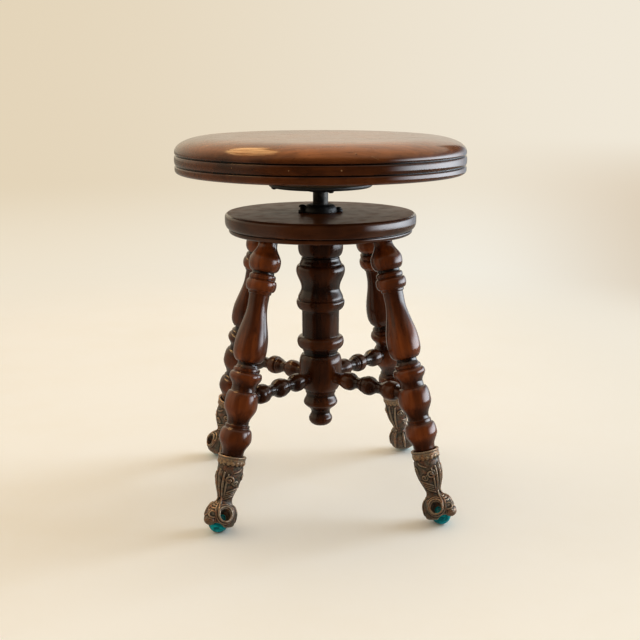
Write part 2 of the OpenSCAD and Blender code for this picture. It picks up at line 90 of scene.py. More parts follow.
class Value:
    """One output socket that takes part in expressions; each operator adds its node."""

    def __init__(self, graph: "Graph", socket: bpy.types.NodeSocket) -> None:
        """Keeps the socket and the graph that it belongs to."""
        self.graph = graph
        self.socket = socket

    def _math(self, operation: str, *operands: "Value | float", clamp: bool = False) -> "Value":
        """Adds one Math node over the operands."""
        return self.graph.node("ShaderNodeMath", {"operation": operation, "use_clamp": clamp},
                               dict(enumerate(operands)))

    def __add__(self, other: "Value | float") -> "Value":
        """Sum."""
        return self._math("ADD", self, other)

    def __sub__(self, other: "Value | float") -> "Value":
        """Difference."""
        return self._math("SUBTRACT", self, other)

    def __mul__(self, other: "Value | float") -> "Value":
        """Product."""
        return self._math("MULTIPLY", self, other)

    def __truediv__(self, other: "Value | float") -> "Value":
        """Quotient."""
        return self._math("DIVIDE", self, other)

    def __radd__(self, other: float) -> "Value":
        """Reflected sum."""
        return self._math("ADD", other, self)

    def __rsub__(self, other: float) -> "Value":
        """Reflected difference, such as 1 - mask."""
        return self._math("SUBTRACT", other, self)

    def __rmul__(self, other: float) -> "Value":
        """Reflected product."""
        return self._math("MULTIPLY", other, self)

    def __rtruediv__(self, other: float) -> "Value":
        """Reflected quotient."""
        return self._math("DIVIDE", other, self)

    def clamped(self) -> "Value":
        """The value held between 0 and 1."""
        return self._math("ADD", self, 0.0, clamp=True)

    def between(self, low: float, high: float) -> "Value":
        """Smooth step from 0 at low to 1 at high; high may be the smaller.

        Args:
            low: Value that gives 0.
            high: Value that gives 1.

        Returns:
            The step.
        """
        return self.graph.node(
            "ShaderNodeMapRange", {"interpolation_type": "SMOOTHSTEP"},
            {"Value": self, "From Min": min(low, high), "From Max": max(low, high),
             "To Min": 0.0 if low < high else 1.0, "To Max": 1.0 if low < high else 0.0})


class Graph:
    """The node tree of one material or of the world."""

    def __init__(self, owner: bpy.types.Material | bpy.types.World) -> None:
        """Starts an empty tree.

        Args:
            owner: The material or world.
        """
        owner.use_nodes = True
        self.tree = owner.node_tree
        self.tree.nodes.clear()

    def node(self, kind: str, settings: dict | None = None, sockets: dict | None = None,
             out: str | int | None = 0) -> Value | None:
        """Adds a node.

        Args:
            kind: The node's type.
            settings: Its properties, or "stops" for a ramp's list of (place, colour).
            sockets: Values or links by socket name or number.
            out: The output wanted, or None for a node that has none.

        Returns:
            The output as a Value.
        """
        made = self.tree.nodes.new(kind)
        for name, setting in (settings or {}).items():
            if name == "stops":
                self._set_stops(made, setting)
            else:
                setattr(made, name, setting)
        for name, given in (sockets or {}).items():
            socket = made.inputs[name]
            if isinstance(given, Value):
                self.tree.links.new(given.socket, socket)
            elif isinstance(given, tuple) and len(given) == 3 and socket.type == "RGBA":
                socket.default_value = (*given, 1.0)
            else:
                socket.default_value = given
        return None if out is None else Value(self, made.outputs[out])

    @staticmethod
    def _set_stops(ramp: bpy.types.Node, stops: Sequence[tuple[float, Colour]]) -> None:
        """Fills a colour ramp.

        Args:
            ramp: The ramp node.
            stops: Its places and colours.
        """
        elements = ramp.color_ramp.elements
        while len(elements) < len(stops):
            elements.new(0.5)
        for element, (place, colour) in zip(elements, stops):
            element.position = place
            element.color = (*colour, 1.0)

    def mix(self, factor: Value | float, first: Value | Colour, second: Value | Colour) -> Value:
        """Mixes two colours by a factor.

        Args:
            factor: Share of the second colour.
            first: Colour at 0.
            second: Colour at 1.

        Returns:
            The mixed colour.
        """
        return self.node("ShaderNodeMix", {"data_type": "RGBA"},
                         {0: factor, 6: first, 7: second}, out=2)

    def object_place(self, scale: Point = (1.0, 1.0, 1.0)) -> Value:
        """Coordinates fixed to the piece, scaled along its own axes."""
        place = self.node("ShaderNodeTexCoord", out="Object")
        return self.node("ShaderNodeMapping", None, {"Vector": place, "Scale": scale})

    def axes(self, place: Value, wanted: str) -> list[Value]:
        """The parts of a vector along the wanted axes, such as "XZ"."""
        return [self.node("ShaderNodeSeparateXYZ", None, {0: place}, out=axis) for axis in wanted]

    def distance(self, place: Value, point: Point = (0.0, 0.0, 0.0)) -> Value:
        """Distance of a place from a point."""
        return self.node("ShaderNodeVectorMath", {"operation": "DISTANCE"}, {0: place, 1: point},
                         out="Value")

    def own_phase(self, spread: float) -> Value:
        """A number that differs from piece to piece."""
        return self.node("ShaderNodeObjectInfo", out="Random") * spread

    def noise(self, place: Value, scale: float, detail: float = 3.0, rough: float = 0.55,
              warp: float = 0.0, phase: Value | float = 0.0) -> Value:
        """Fractal noise from 0 to 1, its fourth coordinate set by phase.

        Args:
            place: Coordinates.
            scale: Cells in a metre.
            detail: Octaves.
            rough: Weight of the finer octaves.
            warp: Distortion.
            phase: The fourth coordinate.

        Returns:
            The noise.
        """
        return self.node("ShaderNodeTexNoise", {"noise_dimensions": "4D"},
                         {"Vector": place, "Scale": scale, "Detail": detail, "Roughness": rough,
                          "Distortion": warp, "W": phase})

    def attribute(self, name: str) -> Value:
        """A number kept at each vertex."""
        return self.node("ShaderNodeAttribute", {"attribute_name": name}, out="Fac")

    def bump(self, height: Value, strength: float, reach: float,
             under: Value | None = None) -> Value:
        """A bump node over a height, on top of another normal.

        Args:
            height: The relief.
            strength: How much of it shows.
            reach: Its depth, in metres.
            under: The normal below it.

        Returns:
            The new normal.
        """
        sockets: dict = {"Height": height, "Strength": strength, "Distance": reach}
        if under is not None:
            sockets["Normal"] = under
        return self.node("ShaderNodeBump", None, sockets)

    def surface(self, shader: Value) -> None:
        """Connects the finished shader to the material's output."""
        self.node("ShaderNodeOutputMaterial", None, {"Surface": shader}, out=None)


# ---------------------------------------------------------------- finishes


@dataclass(frozen=True)
class Varnish:
    """Old varnish over stained wood, with the grain along one of the piece's axes."""

    name: str
    dark: Colour
    body: Colour
    glow: Colour
    grain: Grain
    gloss: float = 0.3
    coat: float = 0.3
    sheen: float = 0.13
    # Lighter tone on the crown: on the seat partly wear and partly painted sheen, on the board's
    # top face painted light.
    wear_and_light_tone: Colour = (0.30, 0.13, 0.05)
    wear_and_light_share: float = 0.0
    ripple: float = 0.2
    dull_crown: float = 0.0
    marks: tuple[tuple[Point, float, Colour], ...] = ()

    # Noise cells in a metre, from the broad cloudiness of the stain to the pores.
    PATCH: ClassVar[float] = 8.0
    CLOUD: ClassVar[float] = 15.0
    FIGURE: ClassVar[float] = 52.0
    SMEAR: ClassVar[float] = 60.0
    WAVE: ClassVar[float] = 75.0
    RUB: ClassVar[float] = 110.0
    STREAK: ClassVar[float] = 210.0
    PORES: ClassVar[float] = 640.0
    CHIP: ClassVar[float] = 900.0
    # Shades of the figure at which the dark, the body and the glow are full.
    STOPS: ClassVar[tuple[float, float, float]] = (0.30, 0.5, 0.71)

    def material(self) -> bpy.types.Material:
        """Builds the material.

        Returns:
            The material.
        """
        made = bpy.data.materials.new(self.name)
        g = Graph(made)
        phase = g.own_phase(9.0)
        along = g.object_place(self.grain.value)
        plain = g.object_place()
        figure = g.noise(along, self.FIGURE, 4.0, 0.62, 0.5, phase)
        streak = g.noise(along, self.STREAK, 3.0, 0.6, 0.0, phase)
        pores = g.noise(along, self.PORES, 2.0, 0.6, 0.0, phase).between(0.60, 0.74)
        cloud = g.noise(plain, self.CLOUD, 3.0, 0.55, 0.2, phase)
        hollow = g.attribute("hollow")
        crest = g.attribute("crest")
        crown = g.attribute("crown")
        shade = (figure * 0.62 + streak * 0.28 + cloud * 0.5 - 0.2).clamped()
        colour = g.node("ShaderNodeValToRGB", {
            "stops": list(zip(self.STOPS, (self.dark, self.body, self.glow)))}, {"Fac": shade})
        # Painted shade: the wood darkens in the broad hollows of the turning.
        colour = g.mix(g.attribute("valley") * 0.85, colour, shaded(self.dark, 0.5))
        # Painted light: the swelling parts of the turning glow brighter.
        colour = g.mix(g.attribute("belly") * cloud.between(0.25, 0.7) * 0.75, colour, self.glow)
        # The crown takes the lighter tone: wear and painted sheen on the seat, painted light on the
        # board's top face.
        if self.wear_and_light_share:
            patch = g.noise(plain, self.PATCH, 4.0, 0.6, 0.3, phase).between(0.35, 0.7)
            bare = g.mix(streak.between(0.35, 0.65), shaded(self.wear_and_light_tone, 0.72), self.wear_and_light_tone)
            colour = g.mix(crown * (0.45 + patch * 0.55) * self.wear_and_light_share, colour, bare)
        colour = g.mix(pores * 0.5, colour, shaded(self.dark, 0.4))
        # Painted shade: narrow grooves darken nearly to black.
        colour = g.mix((hollow * 1.3).clamped() * 0.94, colour, shaded(self.dark, 0.12))
        rub = crest * g.noise(plain, self.RUB, 3.0, 0.7, 0.0, phase).between(0.45, 0.66)
        colour = g.mix(rub * 0.35, colour, shaded(self.glow, 1.6))
        smear = g.noise(plain, self.SMEAR, 3.0, 0.6, 0.0, phase).between(0.35, 0.8)
        rough = self.gloss + smear * 0.14 + hollow * 0.3
        for centre, radius, tone in self.marks:
            colour = g.mix(self._spot(g, centre, radius) * 0.8, colour, tone)
        wave = g.noise(plain, self.WAVE, 3.0, 0.5, 0.0, phase)
        normal = g.bump(wave, self.ripple, 0.0009)
        normal = g.bump(pores, 0.12, 0.0002, normal)
        g.surface(g.node("ShaderNodeBsdfPrincipled", None, {
            "Base Color": colour, "Roughness": rough.clamped(), "Normal": normal,
            "IOR": 1.45, "Specular IOR Level": 0.07, "Specular Tint": (1.0, 0.66, 0.42, 1.0),
            "Coat Weight": (1.0 - crown * self.dull_crown) * self.coat,
            "Coat Roughness": self.sheen, "Coat IOR": 1.5}))
        return made

    def _spot(self, g: Graph, centre: Point, radius: float) -> Value:
        """1 inside a ragged spot about a point of the piece, 0 outside.

        Args:
            g: The node tree.
            centre: The spot's middle, in millimetres.
            radius: Its radius, in millimetres.

        Returns:
            The mask.
        """
        place = g.node("ShaderNodeTexCoord", out="Object")
        gap = g.distance(place, shaded(centre, MM))
        edge = g.noise(place, self.CHIP, 2.0) * (radius * MM)
        return (gap + edge).between(radius * 1.35 * MM, radius * 0.85 * MM)


@dataclass(frozen=True)
class BlackIron:
    """Black japanned cast iron, satin, slightly pitted."""

    name: str = "black_iron"
    black: Colour = (0.011, 0.011, 0.011)
    bare: Colour = (0.07, 0.066, 0.06)
    PATCH: ClassVar[float] = 150.0
    GRIT: ClassVar[float] = 1300.0

    def material(self) -> bpy.types.Material:
        """Builds the material.

        Returns:
            The material.
        """
        made = bpy.data.materials.new(self.name)
        g = Graph(made)
        place = g.object_place()
        grit = g.noise(place, self.GRIT, 3.0, 0.6)
        patch = g.noise(place, self.PATCH, 4.0, 0.6).between(0.52, 0.72)
        crest = g.attribute("crest")
        colour = g.mix((patch * 0.35 + crest * 0.5).clamped(), self.black, self.bare)
        rough = 0.36 + grit * 0.2 + patch * 0.12
        normal = g.bump(grit, 0.35, 0.0004)
        g.surface(g.node("ShaderNodeBsdfPrincipled", None, {
            "Base Color": colour, "Roughness": rough, "Normal": normal, "IOR": 1.5}))
        return made


@dataclass(frozen=True)
class OiledSteel:
    """Old dark steel with a film of oil and fine turning marks across its axis."""

    name: str
    dark: Colour
    bright: Colour
    roughness: float = 0.34
    STAIN: ClassVar[float] = 130.0
    RINGS: ClassVar[float] = 2600.0

    def material(self) -> bpy.types.Material:
        """Builds the material.

        Returns:
            The material.
        """
        made = bpy.data.materials.new(self.name)
        g = Graph(made)
        rings = g.noise(g.object_place((0.05, 0.05, 1.0)), self.RINGS, 2.0, 0.6)
        stain = g.noise(g.object_place(), self.STAIN, 4.0, 0.6)
        clean = (stain.between(0.4, 0.68) * 0.7 + rings * 0.3).clamped()
        colour = g.mix(clean, self.dark, self.bright)
        rough = self.roughness + stain * 0.2
        g.surface(g.node("ShaderNodeBsdfPrincipled", None, {
            "Base Color": colour, "Roughness": rough, "Metallic": 0.55 + stain * 0.3,
            "Normal": g.bump(rings, 0.2, 0.00015)}))
        return made


@dataclass(frozen=True)
class AgedBrass:
    """Cast brass gone brown: hollows dark with patina and painted shade, rubbed high points, a
    trace of green and red.
    """

    name: str = "aged_brass"
    deep: Colour = (0.010, 0.008, 0.006)
    brown: Colour = (0.090, 0.062, 0.043)
    rubbed: Colour = (0.78, 0.60, 0.42)
    green: Colour = (0.062, 0.068, 0.052)
    copper: Colour = (0.17, 0.064, 0.033)
    pale: Colour = (0.26, 0.20, 0.145)
    ochre: Colour = (0.33, 0.18, 0.065)
    STAIN: ClassVar[float] = 150.0
    BLOTCH: ClassVar[float] = 190.0
    SPECK: ClassVar[float] = 430.0
    GRIT: ClassVar[float] = 950.0

    def material(self) -> bpy.types.Material:
        """Builds the material.

        Returns:
            The material.
        """
        made = bpy.data.materials.new(self.name)
        g = Graph(made)
        phase = g.own_phase(7.0)
        place = g.object_place()
        grit = g.noise(place, self.GRIT, 4.0, 0.65, 0.0, phase)
        blotch = g.noise(place, self.BLOTCH, 4.0, 0.6, 0.3, phase)
        stain = g.noise(place, self.STAIN, 3.0, 0.6, 0.3, phase + 3.0)
        speck = g.noise(place, self.SPECK, 3.0, 0.7, 0.4, phase + 5.0)
        hollow = (g.attribute("hollow") * 2.1).clamped()
        crest = (g.attribute("crest") * (0.25 + grit.between(0.3, 0.62) * 0.6
                                         + blotch.between(0.35, 0.6) * 0.45)).clamped()
        colour = g.mix(blotch.between(0.47, 0.6), self.brown, self.copper)
        colour = g.mix(stain.between(0.50, 0.60) * 0.8, colour, self.green)
        colour = g.mix(stain.between(0.44, 0.34) * grit.between(0.3, 0.6) * 0.6, colour, self.pale)
        colour = g.mix(speck.between(0.50, 0.60) * 0.75, colour, self.deep)
        colour = g.mix(speck.between(0.42, 0.34) * 0.7, colour, self.pale)
        colour = g.mix(g.attribute("rim") * speck.between(0.56, 0.44) * 0.75, colour, self.ochre)
        polished = g.mix(blotch.between(0.45, 0.62), self.rubbed,
                         shaded(self.rubbed, 0.75, 0.55, 0.45))
        colour = g.mix(crest * 0.85, colour, polished)
        # Dark patina in the hollows, deepened as painted shade.
        colour = g.mix(hollow, colour, self.deep)
        metal = (0.25 + crest * 0.6 - hollow * 0.25).clamped()
        rough = (0.28 + blotch * 0.24 - crest * 0.12 + hollow * 0.3).clamped()
        g.surface(g.node("ShaderNodeBsdfPrincipled", None, {
            "Base Color": colour, "Roughness": rough, "Metallic": metal,
            "Normal": g.bump(grit, 0.55, 0.0005)}))
        return made


@dataclass(frozen=True)
class TealGlass:
    """Clear teal glass with faint streaks."""

    name: str = "teal_glass"
    thin: Colour = (0.006, 0.37, 0.43)
    thick: Colour = (0.001, 0.09, 0.115)
    STREAK: ClassVar[float] = 85.0

    def material(self) -> bpy.types.Material:
        """Builds the material.

        Returns:
            The material.
        """
        made = bpy.data.materials.new(self.name)
        g = Graph(made)
        streak = g.noise(g.object_place((1.0, 1.0, 2.2)), self.STREAK, 3.0, 0.55, 1.2)
        colour = g.mix(streak.between(0.35, 0.65), self.thick, self.thin)
        g.surface(g.node("ShaderNodeBsdfPrincipled", None, {
            "Base Color": colour, "Roughness": 0.05 + streak * 0.05, "IOR": 1.5,
            "Specular IOR Level": 0.25, "Transmission Weight": 0.15}))
        return made


# ---------------------------------------------------------------- outlines and meshes


class Bend(Enum):
    """How an outline runs from one row to the next."""

    LINE = "straight"
    WAVE = "eases at both ends"
    SWELL = "leaves a corner and ends level"
    FALL = "starts level and ends at a corner"

    def share(self, t: float) -> float:
        """Share of the radius change at share t of the length.

        Args:
            t: Share of the length.

        Returns:
            Share of the change.
        """
        if self is Bend.WAVE:
            return (1 - math.cos(math.pi * t)) / 2
        if self is Bend.SWELL:
            return math.sqrt(max(0.0, 1 - (1 - t) ** 2))
        if self is Bend.FALL:
            return 1 - math.sqrt(max(0.0, 1 - t * t))
        return t


L, W, S, F = Bend.LINE, Bend.WAVE, Bend.SWELL, Bend.FALL
Row = tuple[float, float, Bend]


@dataclass(frozen=True)
class Turning:
    """Outline of a turned piece as rows of share of length, share of greatest radius, bend."""

    rows: tuple[Row, ...]

    def outline(self, length: float, radius: float, inner: float = 0.0) -> list[Pair]:
        """The outline as (radius, height) points.

        Args:
            length: Length that the shares refer to.
            radius: Radius that the shares refer to.
            inner: Radius added to every point.

        Returns:
            Points from the low end to the high end.
        """
        points = [(inner + self.rows[0][1] * radius, self.rows[0][0] * length)]
        for (h0, r0, _), (h1, r1, bend) in zip(self.rows, self.rows[1:]):
            count = 1 if bend is L else BEND_POINTS
            for k in range(1, count + 1):
                t = k / count
                if bend is S:
                    t = 1 - math.cos(math.pi / 2 * t)
                elif bend is F:
                    t = math.sin(math.pi / 2 * t)
                points.append((inner + radius * (r0 + (r1 - r0) * bend.share(t)),
                               length * (h0 + (h1 - h0) * t)))
        return points


def softened(points: Sequence[Pair], ease: float = 0.3, step: float = 0.15,
             closed: bool = False) -> np.ndarray:
    """Evens out an outline's points, rounds its corners a little and thins what is straight.

    Args:
        points: Outline as (radius, height).
        ease: Size of the rounding at corners.
        step: Spacing used while rounding.
        closed: Whether the outline is a loop.

    Returns:
        Array of points, two columns.
    """
    path = np.array(points, float)
    if closed:
        path = np.vstack([path, path[:1]])
    gaps = np.hypot(*np.diff(path, axis=0).T)
    path = path[np.concatenate([[True], gaps > 1e-6])]
    run = np.concatenate([[0], np.cumsum(np.hypot(*np.diff(path, axis=0).T))])
    count = max(8, int(run[-1] / step))
    even = np.linspace(0, run[-1], count + 1)
    fine = np.column_stack([np.interp(even, run, path[:, k]) for k in (0, 1)])
    reach = max(1, int(round(ROUNDING_REACH * ease / step)))
    weights = np.exp(-0.5 * (np.arange(-reach, reach + 1) * step / ease) ** 2)
    weights /= weights.sum()
    if closed:
        fine = fine[:-1]
        padded = np.vstack([fine[-reach:], fine, fine[:reach]])
    else:
        padded = np.vstack([2 * fine[0] - fine[reach:0:-1], fine,
                            2 * fine[-1] - fine[-2:-reach - 2:-1]])
    smooth = np.column_stack([np.convolve(padded[:, k], weights, "valid") for k in (0, 1)])
    keep = [0]
    for i in range(2, len(smooth)):
        a, b = smooth[keep[-1]], smooth[i]
        chord = b - a
        size = math.hypot(*chord)
        between = smooth[keep[-1] + 1:i] - a
        off = np.abs(between[:, 0] * chord[1] - between[:, 1] * chord[0]).max() / max(size, 1e-9)
        if off > STRAIGHT_WITHIN or size > LONGEST_STEP:
            keep.append(i - 1)
    keep.append(len(smooth) - 1)
    return smooth[keep]


def on_axis(outline: np.ndarray) -> np.ndarray:
    """The outline with both its ends set on the axis."""
    outline[0, 0] = outline[-1, 0] = 0.0
    return outline


@dataclass
class Shape:
    """A mesh being made, in millimetres, with numbers kept at each vertex."""

    verts: np.ndarray
    faces: list[tuple[int, ...]]
    notes: dict[str, np.ndarray] = field(default_factory=dict)

    def moved(self, matrix: Matrix) -> "Shape":
        """The same shape under a matrix in millimetres."""
        m = np.array(matrix)
        return Shape(self.verts @ m[:3, :3].T + m[:3, 3], self.faces, self.notes)

    def at(self, x: float, y: float, z: float) -> "Shape":
        """The same shape, moved by millimetres."""
        return self.moved(Matrix.Translation((x, y, z)))

    def mesh(self, name: str, scale: float = 1.0) -> bpy.types.Mesh:
        """A Blender mesh of this shape.

        Args:
            name: Its name.
            scale: Factor on its lengths.

        Returns:
            The mesh.
        """
        made = bpy.data.meshes.new(name)
        made.from_pydata((self.verts * scale).tolist(), [], self.faces)
        for key, numbers in self.notes.items():
            note = made.attributes.new(key, "FLOAT", "POINT")
            note.data.foreach_set("value", numbers.astype(np.float32))
        made.shade_smooth()
        made.update()
        return made

    @staticmethod
    def of(mesh: bpy.types.Mesh) -> "Shape":
        """The shape of a Blender mesh.

        Args:
            mesh: The mesh.

        Returns:
            Its shape, without notes.
        """
        verts = np.empty(len(mesh.vertices) * 3)
        mesh.vertices.foreach_get("co", verts)
        return Shape(verts.reshape(-1, 3), [tuple(p.vertices) for p in mesh.polygons])

    @staticmethod
    def join(shapes: Iterable["Shape"]) -> "Shape":
        """All the shapes in one, overlapping as they lie.

        Args:
            shapes: The shapes.

        Returns:
            One shape, without notes.
        """
        verts, faces, start = [], [], 0
        for shape in shapes:
            verts.append(shape.verts)
            faces += [tuple(v + start for v in face) for face in shape.faces]
            start += len(shape.verts)
        return Shape(np.vstack(verts), faces)


def relief(outline: np.ndarray, reach: float = 4.0,
           depth: float = 2.4) -> tuple[np.ndarray, np.ndarray]:
    """How far each outline point lies in a groove or stands on a crest.

    Args:
        outline: Points (radius, height) along the piece.
        reach: How far along the outline a groove's walls may be.
        depth: Depth that counts as fully hollow.

    Returns:
        Two arrays from 0 to 1: hollow and crest.
    """
    r, h = outline[:, 0], outline[:, 1]
    run = np.concatenate([[0], np.cumsum(np.hypot(np.diff(r), np.diff(h)))])
    hollow, crest = np.zeros(len(r)), np.zeros(len(r))
    for i in range(len(r)):
        before = (run < run[i]) & (run > run[i] - reach)
        after = (run > run[i]) & (run < run[i] + reach)
        if before.any() and after.any():
            rise = min(r[before].max(), r[after].max()) - r[i]
            fall = r[i] - max(r[before].min(), r[after].min())
            hollow[i] = min(1.0, max(0.0, rise) / depth)
            crest[i] = min(1.0, max(0.0, fall) / depth)
    return hollow, crest


def swelling(outline: np.ndarray, reach: float = 17.0, depth: float = 4.2,
             step: float = 0.5) -> tuple[np.ndarray, np.ndarray]:
    """How far each outline point stands out from, or lies within, the run of its neighbours.

    Args:
        outline: Points (radius, height) along the piece.
        reach: How far along the outline neighbours count.
        depth: Difference of radius that counts as full.
        step: Spacing used while averaging.

    Returns:
        Two arrays from 0 to 1: valley and belly.
    """
    r, h = outline[:, 0], outline[:, 1]
    run = np.concatenate([[0], np.cumsum(np.hypot(np.diff(r), np.diff(h)))])
    even = np.arange(0.0, run[-1] + step, step)
    radius = np.interp(even, run, r)
    width = int(2 * reach / step)
    pad = np.pad(radius, width, mode="edge")
    weights = np.hanning(2 * width + 1)
    mean = np.convolve(pad, weights / weights.sum(), "valid")
    off = np.interp(run, even, (radius - mean) / depth)
    return np.clip(-off, 0, 1), np.clip(off, 0, 1)


def revolved(outline: np.ndarray, sides: int, closed: bool = False) -> Shape:
    """A shape of revolution about Z; ends on the axis close in a point.

    Args:
        outline: Points (radius, height).
        sides: Number of sides.
        closed: Whether the outline is a loop, as for a ring.

    Returns:
        A closed shape with hollow, crest, valley and belly numbers.
    """
    notes = dict(zip(("hollow", "crest", "valley", "belly"),
                     (*relief(outline), *swelling(outline))))
    turn = np.linspace(0, 2 * math.pi, sides, endpoint=False)
    verts, rows, repeats = [], [], []
    for r, h in outline:
        if abs(r) < ON_AXIS:
            rows.append([len(verts)] * sides)
            verts.append((0.0, 0.0, h))
            repeats.append(1)
        else:
            rows.append(list(range(len(verts), len(verts) + sides)))
            verts += [(r * math.cos(a), r * math.sin(a), h) for a in turn]
            repeats.append(sides)
    faces: list[tuple[int, ...]] = []
    pairs = list(zip(rows, rows[1:])) + ([(rows[-1], rows[0])] if closed else [])
    for low_row, high_row in pairs:
        for k in range(sides):
            n = (k + 1) % sides
            face = [low_row[k], low_row[n], high_row[n], high_row[k]]
            unique = [v for i, v in enumerate(face) if v not in face[:i]]
            if len(unique) > 2:
                faces.append(tuple(unique))
    return Shape(np.array(verts, float), faces,
                 {key: np.repeat(numbers, repeats) for key, numbers in notes.items()})


def tube(path: Sequence[Point], radii: Sequence[float], sides: int = 10,
         closed: bool = False) -> Shape:
    """A round tube along a path, capped unless it is a loop.

    Args:
        path: Points of its middle.
        radii: Radius at each point.
        sides: Number of sides.
        closed: Whether the last point joins the first.

    Returns:
        A closed shape.
    """
    points = np.array(path, float)
    count = len(points)
    ahead = np.roll(points, -1, 0) - np.roll(points, 1, 0)
    if not closed:
        ahead[0], ahead[-1] = points[1] - points[0], points[-1] - points[-2]
    ahead /= np.linalg.norm(ahead, axis=1)[:, None]
    side = np.cross(ahead[0], (0.0, 0.0, 1.0) if abs(ahead[0][2]) < 0.8 else (1.0, 0.0, 0.0))
    verts, faces = [], []
    for i in range(count):
        side = side - ahead[i] * side.dot(ahead[i])
        side /= np.linalg.norm(side)
        other = np.cross(ahead[i], side)
        for k in range(sides):
            a = 2 * math.pi * k / sides
            verts.append(points[i] + radii[i] * (math.cos(a) * side + math.sin(a) * other))
    for i in range(count if closed else count - 1):
        n = (i + 1) % count
        for k in range(sides):
            m = (k + 1) % sides
            faces.append((i * sides + k, i * sides + m, n * sides + m, n * sides + k))
    if not closed:
        faces.append(tuple(range(sides - 1, -1, -1)))
        faces.append(tuple((count - 1) * sides + k for k in range(sides)))
    return Shape(np.array(verts), faces)


def globe(centre: Point, radius: float, stretch: Point = (1.0, 1.0, 1.0),
          rings: int = 20) -> Shape:
    """A ball, which may be stretched along the axes.

    Args:
        centre: Its middle.
        radius: Its radius.
        stretch: Factors along the three axes.
        rings: Rows of points.

    Returns:
        The ball.
    """
    angles = np.linspace(-math.pi / 2, math.pi / 2, rings)
    outline = np.array([(radius * math.cos(a), radius * math.sin(a)) for a in angles])
    ball = revolved(on_axis(outline), 2 * rings)
    return Shape(ball.verts * np.array(stretch) + np.array(centre), ball.faces)


def rod(start: Point, end: Point, radius: float, sides: int = 48) -> Shape:
    """A plain round rod between two points."""
    return tube([start, end], [radius, radius], sides)


def placed(name: str, data: bpy.types.ID) -> bpy.types.Object:
    """Adds an object to the scene.

    Args:
        name: Its name.
        data: Its mesh, lamp or camera.

    Returns:
        The object.
    """
    made = bpy.data.objects.new(name, data)
    bpy.context.scene.collection.objects.link(made)
    return made


def _through(shape: Shape, name: str, modifiers: Sequence[tuple[str, dict]]) -> Shape:
    """The shape after Blender's modifiers.

    Args:
        shape: The shape.
        name: Name of the object that carries them.
        modifiers: Their types and settings, in order.

    Returns:
        The resulting shape.
    """
    piece = placed(name, shape.mesh(name))
    for kind, settings in modifiers:
        made = piece.modifiers.new(kind, kind)
        for key, setting in settings.items():
            setattr(made, key, setting)
    depsgraph = bpy.context.evaluated_depsgraph_get()
    result = bpy.data.meshes.new_from_object(piece.evaluated_get(depsgraph),
                                             depsgraph=depsgraph)
    shape = Shape.of(result)
    bpy.data.meshes.remove(result)
    bpy.data.meshes.remove(piece.data)
    return shape


def fused(shapes: Iterable[Shape], voxel: float, ease: int = 2) -> Shape:
    """Overlapping shapes run together as one casting, its edges eased.

    Args:
        shapes: The shapes.
        voxel: Size of the cells, in millimetres.
        ease: Rounds of smoothing.

    Returns:
        The casting.
    """
    steps: list[tuple[str, dict]] = [("REMESH", {"mode": "VOXEL", "voxel_size": voxel})]
    if ease:
        steps.append(("SMOOTH", {"iterations": ease, "factor": 0.5}))
    return _through(Shape.join(shapes), "fused", steps)


def carved(shape: Shape, cutters: Iterable[Shape]) -> Shape:
    """The shape less the cutters.

    Args:
        shape: The shape.
        cutters: What is taken away.

    Returns:
        What is left.
    """
    tools = [placed(f"cutter_{k}", cutter.mesh("cutter")) for k, cutter in enumerate(cutters)]
    result = _through(shape, "carved", [
        ("BOOLEAN", {"operation": "DIFFERENCE", "solver": "EXACT", "object": tool})
        for tool in tools])
    for tool in tools:
        bpy.data.meshes.remove(tool.data)
    return result


def weathered(shape: Shape, rounds: int = 10, depth: float = 0.30) -> Shape:
    """Adds hollow and crest numbers to a free-form shape from how it curves.

    Args:
        shape: A dense, even shape.
        rounds: How widely the neighbours are averaged.
        depth: Offset that counts as fully hollow or fully raised.

    Returns:
        The same shape with its numbers.
    """
    work = bmesh.new()
    mesh = shape.mesh("weathered")
    work.from_mesh(mesh)
    work.normal_update()
    normals = np.array([v.normal[:] for v in work.verts])
    ends = np.array([(e.verts[0].index, e.verts[1].index) for e in work.edges])
    work.free()
    bpy.data.meshes.remove(mesh)
    count = np.bincount(ends.ravel(), minlength=len(shape.verts))[:, None].astype(float)
    smooth = shape.verts.copy()
    for _ in range(rounds):
        total = np.zeros_like(smooth)
        np.add.at(total, ends[:, 0], smooth[ends[:, 1]])
        np.add.at(total, ends[:, 1], smooth[ends[:, 0]])
        smooth = 0.4 * smooth + 0.6 * total / np.maximum(count, 1)
    rise = ((shape.verts - smooth) * normals).sum(1) / depth
    shape.notes = {"hollow": np.clip(-rise, 0, 1), "crest": np.clip(rise, 0, 1)}
    return shape


def set_in(name: str, shape: Shape, body: Body, slot: str, finish: bpy.types.Material,
           *nodes: str, place: Matrix | None = None) -> bpy.types.Object:
    """Puts a finished piece in the scene, on its body, in place of CAD nodes.

    Args:
        name: The piece's name.
        shape: Its shape in millimetres, in its own frame.
        body: The CAD body it rides on.
        slot: Name of the record's material slot; not used.
        finish: Its material.
        nodes: CAD nodes that it replaces.
        place: Where its own frame lies, in metres.

    Returns:
        The object.
    """
    piece = placed(name, shape.mesh(name, MM))
    piece.matrix_world = place or Matrix.Identity(4)
    piece.data.materials.append(finish)
    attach(piece, body.value)
    if nodes:
        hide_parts(*nodes)
    log.info("%s: %d faces on %s", name, len(piece.data.polygons), body.value)
    return piece


def keep_node(node: str, finish: bpy.types.Material) -> None:
    """Gives a CAD node that keeps its own shape its material.

    Args:
        node: The node's name.
        finish: Its material.
    """
    piece = frame["nodes"][node]
    piece.data.materials.clear()
    piece.data.materials.append(finish)
    log.info("%s: kept", node)


# ---------------------------------------------------------------- the stool


